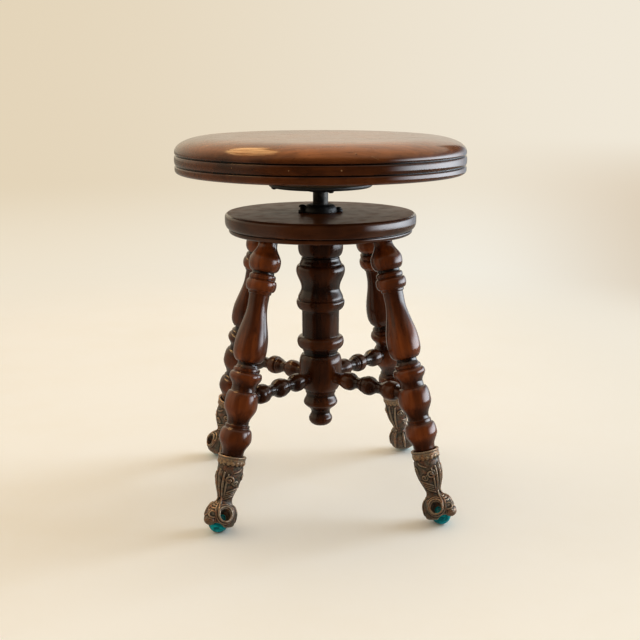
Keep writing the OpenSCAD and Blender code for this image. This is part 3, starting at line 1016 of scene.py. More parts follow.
@dataclass
class Finishes:
    """All the finishes, built once."""

    seat: bpy.types.Material
    cleat: bpy.types.Material
    board: bpy.types.Material
    turned: bpy.types.Material
    post: bpy.types.Material
    iron: bpy.types.Material
    steel: bpy.types.Material
    washer: bpy.types.Material
    brass: bpy.types.Material
    glass: bpy.types.Material

    @staticmethod
    def make() -> "Finishes":
        """Builds every material.

        Returns:
            The finishes.
        """
        seat = Varnish(
            "seat_wood", (0.009, 0.0028, 0.0010), (0.034, 0.0090, 0.0023), (0.100, 0.028, 0.0070),
            Grain.LYING, gloss=0.2, coat=1.0, sheen=0.11, wear_and_light_tone=(0.56, 0.20, 0.065),
            wear_and_light_share=0.88, ripple=0.05, dull_crown=0.22, marks=Seat.marks)
        cleat = Varnish(
            "cleat_wood", (0.02, 0.014, 0.01), (0.05, 0.038, 0.027), (0.085, 0.065, 0.045),
            Grain.LYING, gloss=0.55, coat=0.0)
        board = Varnish(
            "platform_wood", (0.008, 0.0025, 0.0012), (0.025, 0.0068, 0.0022),
            (0.062, 0.0185, 0.0058), Grain.LYING, gloss=0.3, coat=1.0, sheen=0.10,
            wear_and_light_tone=(0.300, 0.088, 0.020), wear_and_light_share=0.9, ripple=0.08, dull_crown=0.95)
        turned = Varnish(
            "turned_wood", (0.009, 0.0024, 0.0008), (0.062, 0.0135, 0.0028),
            (0.22, 0.052, 0.0100), Grain.UPRIGHT, gloss=0.27, coat=1.0, sheen=0.17, ripple=0.16)
        # A darker copy of the turned wood: partly the post's own tone, partly painted shade under
        # the platform; the stretchers take it too.
        post = Varnish(
            "post_wood", (0.006, 0.0019, 0.0008), (0.027, 0.0070, 0.0021), (0.095, 0.025, 0.006),
            Grain.UPRIGHT, gloss=0.27, coat=0.9, sheen=0.17, ripple=0.16)
        return Finishes(
            seat.material(), cleat.material(), board.material(), turned.material(),
            post.material(), BlackIron().material(),
            OiledSteel("screw_steel", (0.02, 0.018, 0.016), (0.10, 0.092, 0.082)).material(),
            OiledSteel("washer_steel", (0.07, 0.065, 0.06), (0.26, 0.25, 0.24)).material(),
            AgedBrass().material(), TealGlass().material())


@dataclass
class Seat:
    """Round seat with a pillowed edge, two scratched grooves, a bulged band and a tucked bead."""

    low: float = 410.6
    thick: float = 44.5
    radius: float = 178.0
    round_run: float = 49.0
    round_drop: float = 19.2
    round_power: float = 2.2
    grooves: tuple[float, float] = (10.4, 22.8)
    groove_w: float = 1.9
    groove_depth: float = 2.2
    tuck: float = 6.0
    swell: float = 0.4
    ease: float = 0.4
    sides: int = 240
    wear_and_sheen_from: float = 1.04
    wear_and_sheen_over: float = 0.62
    bare: ClassVar[Colour] = (0.36, 0.22, 0.11)
    dirt: ClassVar[Colour] = (0.010, 0.005, 0.003)
    marks: ClassVar[tuple[tuple[Point, float, Colour], ...]] = (
        ((-110.1, -139.9, 428.0), 0.9, bare), ((-49.7, -170.9, 427.0), 1.1, bare),
        ((6.4, -177.9, 427.4), 1.3, bare), ((22.2, -171.9, 445.4), 1.5, bare),
        ((22.8, -172.6, 444.2), 1.5, dirt), ((40.0, -171.6, 441.9), 0.8, bare),
        ((42.0, -171.5, 440.9), 0.8, bare), ((44.2, -171.3, 439.8), 0.8, bare),
        ((46.4, -171.2, 438.8), 0.8, bare))

    def outline(self) -> np.ndarray:
        """Outline from the middle of the underside to the middle of the top.

        Returns:
            Points (radius, height above the underside).
        """
        r, points = self.radius, [(0.0, 0.0)]
        first, second = self.grooves
        w = self.groove_w / 2
        for a in np.linspace(0, math.pi / 2, 25):
            points.append((r - self.tuck + self.tuck * math.sin(a),
                           0.8 * self.tuck * (1 - math.cos(a))))
        for h in self.grooves:
            points += [(r, h - w - 1.0), (r - 0.5, h - w), (r - self.groove_depth, h - w / 3),
                       (r - self.groove_depth, h + w / 3), (r - 0.5, h + w), (r, h + w + 1.2)]
            if h == first:
                points += [(r + self.swell - 0.05, h + w + 3.0),
                           (r + self.swell, (first + second) / 2),
                           (r + self.swell - 0.05, second - w - 3.0)]
        power = 2 / self.round_power
        for a in np.linspace(0, math.pi / 2, 61):
            points.append((r - self.round_run * (1 - math.cos(a) ** power),
                           self.thick - self.round_drop * (1 - math.sin(a) ** power)))
        points.append((0.0, self.thick))
        return on_axis(softened(points, self.ease))

    def wear_and_sheen(self, verts: np.ndarray) -> np.ndarray:
        """How much of the lighter crown tone the seat takes, as wear and painted sheen: most on
        top, further down in front, less at its two sides.

        Args:
            verts: The seat's points, above its underside.

        Returns:
            Share of wear and painted sheen, from 0 to 1.
        """
        x, y, z = verts.T
        rise = np.clip((z - self.thick) / self.round_drop + self.wear_and_sheen_from, 0, self.wear_and_sheen_over)
        rise = rise / self.wear_and_sheen_over
        behind = 1 - np.clip(-y / (0.8 * self.radius), 0, 1)
        aside = np.clip(np.abs(x) / self.radius - 0.5, 0, 0.4) / 0.4
        return (rise * rise * (3 - 2 * rise)) ** (1 + 1.6 * behind) * (1 - 0.45 * aside)

    def build(self, finishes: Finishes) -> None:
        """Makes the seat.

        Args:
            finishes: The finishes to dress it in.
        """
        shape = revolved(self.outline(), self.sides)
        shape.notes["crown"] = self.wear_and_sheen(shape.verts)
        set_in("seat_top", shape.at(0, 0, self.low), Body.SEAT, "seat_wood", finishes.seat, "seat")


@dataclass
class SeatFixing:
    """Cleat, iron plate with its hub, and the plate's screws."""

    plate_low: float = 393.0
    plate_t: float = 4.5
    hub_low: float = 387.0
    cleat_t: float = 13.1
    radius: float = 64.0
    bore: float = 7.05
    rivet: float = 10.85
    rivet_h: float = 3.4
    hub: float = 16.0
    sides: int = 160

    def build(self, finishes: Finishes) -> None:
        """Makes the cleat and the plate, and dresses the screws.

        Args:
            finishes: The finishes to dress it in.
        """
        r, hub = self.radius, self.hub
        block = [(0, self.rivet_h), (self.rivet, self.rivet_h), (self.rivet, 0), (r - 0.8, 0),
                 (r, 0.8), (r, self.cleat_t), (0, self.cleat_t)]
        cleat = revolved(on_axis(softened(block, 0.2)), self.sides)
        set_in("cleat_block", cleat.at(0, 0, self.plate_low + self.plate_t), Body.SEAT,
               "cleat_wood", finishes.cleat, "seat_cleat")
        rise = self.plate_low - self.hub_low
        ring = [(self.bore, 0), (hub - 1.2, 0), (hub, 1.0), (hub, rise * 0.45),
                (hub + 1, rise * 0.8), (hub + 3, rise), (r - 2.5, rise),
                (r - 0.5, rise + 1.2), (r, rise + 2.2), (r, rise + self.plate_t),
                (self.bore, rise + self.plate_t)]
        plate = revolved(softened(ring, 0.4, closed=True), self.sides, closed=True)
        set_in("hub_plate", plate.at(0, 0, self.hub_low), Body.SEAT, "black_iron", finishes.iron,
               "seat_plate")
        keep_node("plate_screws", finishes.steel)


@dataclass
class LiftScrew:
    """Threaded spindle with its plain neck and riveted end."""

    low: float = 181.0
    thread_top: float = 370.0
    hub_low: float = 387.0
    cleat_low: float = 397.5
    radius: float = 9.25
    depth: float = 1.7
    pitch: float = 6.35
    neck: float = 9.45
    tenon: float = 7.0
    head: float = 10.5
    head_h: float = 3.0
    sides: int = 72
    level_step: float = 0.42

    def thread_radius(self, angle: np.ndarray, height: float) -> np.ndarray:
        """Radius of the right-hand thread round one level.

        Args:
            angle: Angles about the axis.
            height: The level.

        Returns:
            The radius at each angle.
        """
        phase = np.mod((height - self.low) / self.pitch + 1 - angle / (2 * math.pi), 1.0)
        crest = np.interp(phase, [0, 0.4, 0.5, 0.9, 1.0], [1, 1, 0, 0, 1])
        soft = crest * crest * (3 - 2 * crest)
        return self.radius - self.depth * (1 - soft)

    def build(self, finishes: Finishes) -> None:
        """Makes the spindle.

        Args:
            finishes: The finishes to dress it in.
        """
        sides = self.sides
        turn = np.linspace(0, 2 * math.pi, sides, endpoint=False)
        levels = np.arange(self.low, self.thread_top, self.level_step)
        rings = [(self.thread_radius(turn, h), h) for h in levels]
        for r, h in [(self.neck, self.thread_top), (self.neck, self.hub_low),
                     (self.tenon, self.hub_low), (self.tenon, self.cleat_low),
                     (self.head, self.cleat_low),
                     (self.head, self.cleat_low + self.head_h * 0.6),
                     (self.head * 0.8, self.cleat_low + self.head_h * 0.95),
                     (self.head * 0.3, self.cleat_low + self.head_h)]:
            rings.append((np.full(sides, r), h))
        verts = [(r * math.cos(a), r * math.sin(a), h)
                 for ring, h in rings for r, a in zip(ring, turn)]
        faces = [(i * sides + k, i * sides + (k + 1) % sides, (i + 1) * sides + (k + 1) % sides,
                  (i + 1) * sides + k) for i in range(len(rings) - 1) for k in range(sides)]
        faces += [tuple(range(sides - 1, -1, -1)), tuple(range(len(verts) - sides, len(verts)))]
        shape = Shape(np.array(verts), faces)
        piece = set_in("lift_screw", shape, Body.SEAT, "screw_iron", finishes.steel, "seat_screw")
        piece.data.set_sharp_from_angle(angle=math.radians(50))
        keep_node("thrust_washer", finishes.washer)


@dataclass
class Nut:
    """Domed cast nut with two ears, on the platform."""

    low: float = 361.5
    flange_r: float = 20.3
    flange_t: float = 3.0
    height: float = 10.0
    top_r: float = 13.7
    recess_r: float = 12.0
    recess: float = 2.0
    barrel_r: float = 14.0
    barrel: float = 26.0
    bore: float = 9.62
    ear_reach: float = 22.5
    ear_r: float = 5.2
    seat_r: float = 4.7
    seat_top: float = 12.0
    sides: int = 96
    # Side, how far it stands proud, and the head's radius, for each screw.
    heads: ClassVar[tuple[tuple[int, float, float], ...]] = ((-1, 3.4, 4.6), (1, 0.0, 4.0))

    def build(self, finishes: Finishes) -> None:
        """Makes the nut and dresses its screws.

        Args:
            finishes: The finishes to dress it in.
        """
        dome = [(self.top_r + (self.flange_r - self.top_r - 0.3) * math.cos(a),
                 self.flange_t + (self.height - self.flange_t) * math.sin(a))
                for a in np.linspace(0.08, math.pi / 2, 14)]
        ring = ([(self.bore, -self.barrel), (self.barrel_r, -self.barrel), (self.barrel_r, 0),
                 (self.flange_r, 0), (self.flange_r, self.flange_t - 0.3)] + dome
                + [(self.recess_r, self.height), (self.recess_r, self.height - self.recess),
                   (self.bore, self.height - self.recess)])
        body = revolved(softened(ring, 0.3, closed=True), self.sides, closed=True)
        ear = revolved(softened([(0, 0.02), (self.ear_r, 0.02), (self.ear_r, self.flange_t),
                                 (0, self.flange_t)], 0.3), 40)
        seat = rod((0, 0, self.flange_t), (0, 0, self.seat_top), self.seat_r)
        ears, seats = ([part.at(side * self.ear_reach, 0, 0) for side in (-1, 1)]
                       for part in (ear, seat))
        shape = weathered(carved(fused([body, *ears], 0.4, 3), seats), 8, 0.5)
        set_in("domed_nut", shape.at(0, 0, self.low), Body.BASE, "black_iron", finishes.iron,
               "screw_nut")
        self.screws(finishes)

    def screws(self, finishes: Finishes) -> None:
        """Makes the two round-headed screws; the left one has backed out.

        Args:
            finishes: The finishes to dress it in.
        """
        both = []
        for side, proud, wide in self.heads:
            head = [(wide * math.cos(a), 0.8 + 2.5 * math.sin(a))
                    for a in np.linspace(0, math.pi / 2, 12)]
            points = [(0, -11.0), (1.9, -10.0), (1.9, -proud), (3.0, -proud + 0.1), (2.8, 0),
                      (wide - 0.1, 0)] + head
            both.append(revolved(on_axis(softened(points, 0.16)), 40).at(
                side * self.ear_reach, 0, self.low + self.flange_t + proud))
        set_in("round_screws", Shape.join(both), Body.BASE, "screw_iron", finishes.steel,
               "nut_screws")


@dataclass
class Platform:
    """Turned board over the legs, with a large bead, a cove and a small bead on its edge."""

    low: float = 336.7
    thick: float = 24.8
    radius: float = 118.5
    edge: float = 8.5
    hole: float = 19.05
    sides: int = 200
    turning: Turning = Turning((
        (0, 0, L), (0.13, 0.45, S), (0.2, 0.45, L), (0.225, 0.3, L), (0.25, 0.3, L),
        (0.26, 0.46, L), (0.6, 1, S), (0.8, 1, L), (0.965, 0.72, F), (0.975, 0.66, L),
        (1, 0.66, L)))

    def build(self, finishes: Finishes) -> None:
        """Makes the board.

        Args:
            finishes: The finishes to dress it in.
        """
        edge = self.turning.outline(self.thick, self.edge, self.radius - self.edge)
        ring = [(self.hole, 0)] + edge + [(self.hole, self.thick)]
        shape = revolved(softened(ring, 0.3, closed=True), self.sides, closed=True)
        # Painted light: the board's top face takes the lighter crown tone.
        shape.notes["crown"] = (shape.verts[:, 2] > self.thick - 0.05).astype(float)
        set_in("stand_board", shape.at(0, 0, self.low), Body.BASE, "stand_wood", finishes.board,
               "platform")


@dataclass
class Column:
    """Turned centre post with the bulb that takes the stretchers and a drop finial."""

    low: float = 86.0
    length: float = 250.7
    radius: float = 30.7
    tenon: float = 19.0
    top: float = 361.5
    bore: float = 10.7
    bore_low: float = 177.0
    barrel: float = 14.05
    barrel_low: float = 335.45
    sides: int = 112
    turning: Turning = Turning((
        (0, 0.2, L), (0.036, 0.49, S), (0.068, 0.39, W), (0.076, 0.4, L), (0.122, 0.707, W),
        (0.164, 0.59, W), (0.173, 0.59, L), (0.175, 0.63, L), (0.19, 0.64, L), (0.3, 0.88, S),
        (0.332, 0.88, L), (0.38, 0.7, F), (0.382, 0.694, L), (0.393, 0.7, L), (0.395, 0.735, L),
        (0.404, 0.745, L), (0.409, 0.765, L), (0.445, 0.967, S), (0.473, 0.81, F),
        (0.475, 0.759, L), (0.598, 0.765, L), (0.606, 0.79, L), (0.61, 0.805, L),
        (0.648, 0.99, S), (0.66, 0.945, F), (0.662, 0.91, L),
        (0.666, 0.93, L), (0.72, 0.79, W), (0.81, 1, W), (0.838, 0.88, F), (0.842, 0.855, L),
        (0.866, 0.785, W), (0.872, 0.785, L), (0.875, 0.75, L), (0.88, 0.75, L), (0.924, 0.92, S),
        (1, 0.91, L)))

    def build(self, finishes: Finishes) -> None:
        """Makes the post with its bore.

        Args:
            finishes: The finishes to dress it in.
        """
        points = [(0.0, 0.0)] + self.turning.outline(self.length, self.radius)
        top, barrel, bore = (h - self.low for h in (self.top, self.barrel_low, self.bore_low))
        points += [(self.tenon, self.length), (self.tenon, top), (self.barrel, top),
                   (self.barrel, barrel), (self.bore, barrel), (self.bore, bore), (0.0, bore)]
        shape = revolved(on_axis(softened(points, 0.28)), self.sides)
        set_in("centre_post", shape.at(0, 0, self.low), Body.BASE, "stand_wood", finishes.post,
               "column")


@dataclass
class LegFrame:
    """Where the four legs stand, and their own frames."""

    foot_r: float = 188.5
    toe_out: float = 5.0
    high_r: float = 95.5
    platform_low: float = 336.7
    ball_r: float = 12.0

    @property
    def low_r(self) -> float:
        """Distance of the leg's axis from the middle, at the ball's height."""
        return self.foot_r - self.toe_out

    @property
    def splay(self) -> float:
        """Lean of a leg, in radians."""
        return math.atan((self.low_r - self.high_r) / (self.platform_low - self.ball_r))

    @property
    def axis_len(self) -> float:
        """Length of the axis from the ball's height to the platform's underside."""
        return (self.platform_low - self.ball_r) / math.cos(self.splay)

    @staticmethod
    def turn(side: int) -> Matrix:
        """The turn from +X to one leg's side."""
        return Matrix.Rotation(math.radians(90 * side - 45), 4, "Z")

    def matrix(self, side: int) -> Matrix:
        """Frame of one leg, its origin in metres: Z up the leg, X outwards."""
        foot = Matrix.Translation((self.low_r * MM, 0, self.ball_r * MM))
        return self.turn(side) @ foot @ Matrix.Rotation(-self.splay, 4, "Y")

    @property
    def ball(self) -> Point:
        """The ball's middle in a leg's own frame."""
        return (self.toe_out * math.cos(self.splay), 0.0, -self.toe_out * math.sin(self.splay))

    @property
    def up(self) -> Point:
        """The upright direction in a leg's own frame."""
        return (math.sin(self.splay), 0.0, math.cos(self.splay))


@dataclass
class Legs:
    """Four splayed turned legs."""

    frame: LegFrame
    foot_len: float = 79.5
    radius: float = 19.8
    tenon_r: float = 10.0
    tenon_len: float = 17.0
    dowel_r: float = 11.8
    dowel_len: float = 26.0
    spare: float = 10.0
    overlap: float = 3.0
    sides: int = 80
    turning: Turning = Turning((
        (0, 0.636, L), (0.014, 0.65, L), (0.078, 0.97, W), (0.125, 0.79, F), (0.129, 0.73, L),
        (0.142, 0.74, L), (0.145, 0.65, L), (0.155, 0.65, L), (0.23, 0.995, W), (0.24, 0.995, L),
        (0.297, 0.8, F), (0.3, 0.735, L), (0.32, 0.71, L), (0.367, 0.98, W), (0.388, 0.81, F),
        (0.39, 0.765, L), (0.395, 0.8, L), (0.406, 0.78, L), (0.408, 0.69, L), (0.424, 0.61, W),
        (0.434, 0.61, L), (0.492, 1, S), (0.505, 1, L), (0.706, 0.596, W), (0.75, 0.61, L),
        (0.753, 0.685, L), (0.763, 0.695, L), (0.765, 0.735, L), (0.796, 0.92, S), (0.817, 0.8, F),
        (0.819, 0.76, L), (0.823, 0.8, L), (0.833, 0.8, L), (0.843, 0.7, F), (0.846, 0.665, L),
        (0.856, 0.665, L), (0.897, 0.955, S), (0.904, 0.955, L), (0.98, 0.565, W), (1, 0.555, L)))

    def shape(self) -> Shape:
        """One leg in its own frame, its shoulder cut to the platform's underside.

        Returns:
            The leg with its tenon.
        """
        length = self.frame.axis_len - self.foot_len
        points = [(0.0, -self.dowel_len), (self.dowel_r, -self.dowel_len), (self.dowel_r, 0)]
        points += self.turning.outline(length, self.radius)
        points += [(points[-1][0], length + self.spare), (0.0, length + self.spare)]
        body = revolved(on_axis(softened(points, 0.26)), self.sides).at(0, 0, self.foot_len)
        work = bmesh.new()
        mesh = body.mesh("leg")
        work.from_mesh(mesh)
        bpy.data.meshes.remove(mesh)
        up = Vector(self.frame.up)
        level = up * (self.frame.platform_low - self.frame.ball_r)
        cut = bmesh.ops.bisect_plane(work, geom=work.verts[:] + work.edges[:] + work.faces[:],
                                     dist=1e-5, plane_co=level, plane_no=up, clear_outer=True)
        rim = [e for e in cut["geom_cut"] if isinstance(e, bmesh.types.BMEdge)]
        bmesh.ops.edgeloop_fill(work, edges=rim)
        work.verts.index_update()
        keys = {k: work.verts.layers.float.get(k) for k in body.notes}
        notes = {k: np.array([v[layer] for v in work.verts]) for k, layer in keys.items()}
        verts = np.array([v.co[:] for v in work.verts])
        faces = [tuple(v.index for v in f.verts) for f in work.faces]
        work.free()
        reach = self.tenon_len + self.overlap
        tenon = revolved(softened([(0, 0), (self.tenon_r, 0), (self.tenon_r, reach), (0, reach)],
                                  0.2), 48)
        tenon = tenon.at(0, 0, self.frame.axis_len - self.overlap)
        both = Shape.join([Shape(verts, faces), tenon])
        both.notes = {k: np.concatenate([n, np.zeros(len(tenon.verts))])
                      for k, n in notes.items()}
        return both

    def build(self, finishes: Finishes) -> None:
        """Makes the four legs.

        Args:
            finishes: The finishes to dress it in.
        """
        shape = self.shape()
        for side in SIDES:
            set_in(f"turned_leg_{side}", shape, Body.BASE, "stand_wood", finishes.turned,
                   f"leg_{side}", place=self.frame.matrix(side))


@dataclass
class Stretchers:
    """Four turned stretchers from the column's bulb to the legs."""

    frame: LegFrame
    height: float = 152.0
    radius: float = 11.8
    tenon_r: float = 7.3
    bulb_r: float = 26.893
    in_column: float = 12.0
    in_leg: float = 12.0
    leg_r: float = 19.8
    sides: int = 64
    shoulders: tuple[float, float] = (0.05, 0.96)
    rows: tuple[Row, ...] = (
        (0.05, 0.64, L), (0.19, 0.96, W), (0.23, 0.96, L), (0.335, 0.6, W), (0.36, 0.6, L),
        (0.425, 0.78, W), (0.43, 0.84, L), (0.45, 0.86, L), (0.455, 0.79, L), (0.465, 0.79, L),
        (0.47, 0.92, L), (0.51, 1, S), (0.535, 1, L), (0.66, 0.6, W), (0.7, 0.6, L),
        (0.83, 1, W), (0.87, 1, L), (0.95, 0.66, F))

    def build(self, finishes: Finishes) -> None:
        """Makes the four stretchers.

        Args:
            finishes: The finishes to dress it in.
        """
        rise = self.height - self.frame.ball_r
        leg_at = self.frame.low_r - rise * math.tan(self.frame.splay)
        shown = leg_at - self.leg_r - self.bulb_r
        plain = self.tenon_r / self.radius
        start, end = self.shoulders
        rows = ((-self.in_column / shown, plain, L), (start, plain, L), *self.rows,
                (end, plain, L), (1 + self.in_leg / shown, plain, L))
        points = Turning(rows).outline(shown, self.radius)
        points = [(0.0, points[0][1]), *points, (0.0, points[-1][1])]
        shape = revolved(on_axis(softened(points, 0.26)), self.sides)
        lying = (Matrix.Translation((self.bulb_r * MM, 0, self.height * MM))
                 @ Matrix.Rotation(math.pi / 2, 4, "Y"))
        for side in SIDES:
            set_in(f"turned_stretcher_{side}", shape, Body.BASE, "stand_wood", finishes.post,
                   f"stretcher_{side}", place=self.frame.turn(side) @ lying)


@dataclass
class ClawFeet:
    """Cast ferrules with an eagle's claw over a glass ball, modelled in a leg's own frame.

    Directions round the sleeve and the ball are in degrees from the front toe, and those above
    or below the ball's middle in degrees of lift. A right hand of 1 mirrors a left one of -1.
    """

    frame: LegFrame
    length: float = 79.5
    rim_r: float = 17.0
    rim_h: float = 9.5
    ankle_r: float = 8.4
    paw_r: float = 17.8
    paw_back: float = 2.0
    mouth_r: float = 14.2
    mouth: float = 5.0
    socket_r: float = 11.9
    socket: float = 26.0
    toe_r: float = 6.2
    toe_wide: float = 1.1
    toe_low: float = 16.0
    toe_high: float = 76.0
    window_turn: float = 68.0
    window_lift: float = 39.0
    window_r: float = 3.8
    egg: float = 1.15
    arch_r: float = 9.0
    arch_turn: float = 40.0
    scallops: int = 18
    voxel: float = 0.4
    sides: int = 72
    sleeve: Turning = Turning((
        (0.25, 1.2, L), (0.32, 1, W), (0.35, 1, L), (0.4, 1.11, L), (0.55, 1.58, L),
        (0.635, 1.73, L), (0.72, 1.8, L), (0.86, 1.79, L)))
    paw: Turning = Turning((
        (0, 0.9, L), (0.229, 1, S), (0.328, 1, L), (0.777, 0.62, F), (1, 0.32, L)))

    # Leaf ribs over the front of the sleeve: turn, thickness.
    leaves: ClassVar[tuple[Pair, ...]] = ((0, 2.1), (-20, 1.8), (20, 1.8), (-37, 1.3), (37, 1.3))
    # Scrolls on one side of the sleeve: turn, height, size, hand, thickness.
    scrolls: ClassVar[tuple[tuple[float, ...], ...]] = (
        (47, 51.5, 5.4, 1, 1.35), (80, 47.5, 3.9, 1, 1.2), (128, 56, 4.6, -1, 1.2))
    # Knuckles of the front toe: lift, size.
    knuckles: ClassVar[tuple[Pair, ...]] = ((66, 6.2), (42, 6.8), (16, 6.7))
    # Wrinkles across the front toe: lift, turn at each end.
    wrinkles: ClassVar[tuple[Pair, ...]] = ((72, 26), (63, 27), (54, 24))
    # The brow that runs round a window, and the tendon beside the toe: turn, lift.
    brow: ClassVar[tuple[Pair, ...]] = (
        (32, 84), (34, 66), (38, 48), (44, 31), (56, 20), (74, 16), (90, 21), (101, 34), (105, 48))
    tendon: ClassVar[tuple[Pair, ...]] = ((14, 76), (18, 58), (24, 41), (29, 24), (27, 8))
    # Rings on the paw: turn, lift, angle off their middle, thickness, height above the surface.
    rings: ClassVar[tuple[tuple[float, ...], ...]] = (
        (68, 39, 22.8, 1.2, 0.4), (68, 39, 31.0, 0.95, 0.1), (14, 33, 10.0, 1.05, 0.1),
        (13, 12, 6.5, 0.9, 0.1))
    # Rear talons: turn, thickness, taper.
    talons: ClassVar[tuple[tuple[float, ...], ...]] = (
        (140, 1.9, 0.5), (-140, 1.9, 0.5), (180, 2.4, 0.4))
    talon_lifts: ClassVar[range] = range(64, -6, -12)
    # A window's cutter: how far out from the ball's middle, and how much wider than the window.
    bevel: ClassVar[tuple[Pair, ...]] = ((4, -0.2), (12, 0.0), (18, 2.8), (34, 4.2))

    def __post_init__(self) -> None:
        """Works out the plain outlines once."""
        self.sleeve_line = np.array(self.sleeve.outline(self.length, self.ankle_r))
        self.paw_line = np.array(self.paw.outline(2.54 * self.frame.ball_r, self.paw_r))
        self.paw_drop = self.frame.ball_r / 5
        self.ball = np.array(self.frame.ball)
        self.toe_ring = self.paw_r - self.toe_r + 2.2 * self.paw_back

    def sleeve_radius(self, height: float) -> float:
        """Outer radius of the plain sleeve at a height."""
        return float(np.interp(height, self.sleeve_line[:, 1], self.sleeve_line[:, 0]))

    def on_sleeve(self, turn: float, height: float, lift: float = 0.0) -> Point:
        """A point on the sleeve's surface, turn in degrees from the front."""
        r, a = self.sleeve_radius(height) + lift, math.radians(turn)
        return (r * math.cos(a), r * math.sin(a), height)

    def by_ball(self, turn: float, lift: float, reach: float) -> Point:
        """A point off the ball's middle, by angles in degrees.

        Args:
            turn: Turn from the front.
            lift: Lift above level.
            reach: Distance from the ball's middle.

        Returns:
            The point.
        """
        a, b = math.radians(turn), math.radians(lift)
        way = (math.cos(b) * math.cos(a), math.cos(b) * math.sin(a), math.sin(b))
        return tuple(self.ball + reach * np.array(way))

    def _inside(self, place: np.ndarray) -> bool:
        """Whether a point is inside the plain paw, the toe or the sleeve.

        Args:
            place: The point.

        Returns:
            True inside.
        """
        x, y, z = place - self.ball
        if z > -self.paw_drop and math.hypot(x + self.paw_back, y) < np.interp(
                z + self.paw_drop, self.paw_line[:, 1], self.paw_line[:, 0], right=0.0):
            return True
        off_toe = math.hypot(math.hypot(x, z) - self.toe_ring, y / self.toe_wide)
        above = math.atan2(z, max(x, 1e-6)) > math.radians(self.toe_low)
        if x > 0 and above and off_toe < self.toe_r:
            return True
        return place[2] > 22 and math.hypot(place[0], place[1]) < self.sleeve_radius(place[2])

    def skin(self, way: np.ndarray, raised: float = 0.0) -> Point:
        """Where a direction from the ball's middle leaves the plain casting.

        Args:
            way: The direction.
            raised: Distance added beyond the surface.

        Returns:
            The point.
        """
        way = way / np.linalg.norm(way)
        reach = self.frame.ball_r + 2.0
        while reach < 40 and self._inside(self.ball + way * reach):
            reach += 0.25
        return tuple(self.ball + way * (reach + raised))

    def draped(self, track: Sequence[tuple[float, float]], thick: float, raised: float = 0.0,
               taper: float = 0.0) -> Shape:
        """A raised line on the paw, thinner toward its ends.

        Args:
            track: Turns and lifts that it runs through.
            thick: Radius of its middle.
            raised: Height above the paw.
            taper: Share of the radius lost at its ends.

        Returns:
            The line.
        """
        marks, count = np.array(track, float), len(track)
        share = np.linspace(0, count - 1, 6 * count)
        turns, lifts = (np.interp(share, range(count), marks[:, k]) for k in (0, 1))
        smooth = np.array([self.skin(np.array(self.by_ball(turn, lift, 1.0)) - self.ball, raised)
                           for turn, lift in zip(turns, lifts)])
        for _ in range(3):
            smooth[1:-1] = (smooth[:-2] + 2 * smooth[1:-1] + smooth[2:]) / 4
        ends = np.sin(np.linspace(0.12, math.pi - 0.12, len(share)))
        return tube(smooth, thick * (1 - taper * (1 - ends)), 10)

    def hoop(self, turn: float, lift: float, wide: float, thick: float,
             raised: float = 0.0) -> Shape:
        """A ring lying on the paw.

        Args:
            turn: Direction of its middle round the ball, in degrees from the front.
            lift: The same above level.
            wide: Its angle off that direction, in degrees.
            thick: Radius of its tube.
            raised: How far its tube's middle lies above the surface.

        Returns:
            The ring.
        """
        out = Vector(self.by_ball(turn, lift, 1.0)) - Vector(self.ball)
        side = out.cross(Vector((0, 0, 1))).normalized()
        up = side.cross(out)
        spread = math.tan(math.radians(wide))
        ways = [out + spread * (math.cos(a) * side + math.sin(a) * up)
                for a in np.linspace(0, 2 * math.pi, 48, endpoint=False)]
        path = np.array([self.skin(np.array(way), raised) for way in ways])
        for _ in range(3):
            path = (np.roll(path, 1, 0) + 2 * path + np.roll(path, -1, 0)) / 4
        return tube(path, [thick] * len(path), 10, closed=True)

    def volute(self, turn: float, height: float, size: float, hand: float,
               thick: float) -> list[Shape]:
        """A spiral scroll on the sleeve with a knob at its eye.

        Args:
            turn: Turn of its eye.
            height: Height of its eye.
            size: Radius of the whole scroll.
            hand: 1 or -1, which way it winds.
            thick: Radius of its line.

        Returns:
            The spiral and its knob.
        """
        points, radii = [], []
        for t in np.linspace(0, 1, 46):
            q = size * (1 - 0.74 * t)
            a = hand * (2 * math.pi * 1.3 * t) - 0.9 * hand
            r = self.sleeve_radius(height + q * math.sin(a))
            points.append(self.on_sleeve(turn + math.degrees(q * math.cos(a) / r),
                                         height + q * math.sin(a), 0.3 + 0.7 * t))
            radii.append(thick * (1.0 - 0.3 * t))
        return [tube(points, radii, 10), globe(self.on_sleeve(turn, height, 0.7), size * 0.27)]

    def rib(self, start: Pair, end: Pair, thick: float, bow: float = 0.0,
            lift: float = 0.2) -> Shape:
        """A raised line on the sleeve, thin at its ends.

        Args:
            start: Turn and height of one end.
            end: The same of the other.
            thick: Radius of its middle.
            bow: Turn added at its middle.
            lift: Height above the sleeve.

        Returns:
            The rib.
        """
        points, radii = [], []
        for t in np.linspace(0, 1, 18):
            turn = start[0] + (end[0] - start[0]) * t + bow * math.sin(math.pi * t)
            points.append(self.on_sleeve(turn, start[1] + (end[1] - start[1]) * t, lift))
            radii.append(thick * (0.35 + 0.65 * math.sin(math.pi * (0.12 + 0.76 * t))))
        return tube(points, radii, 8)

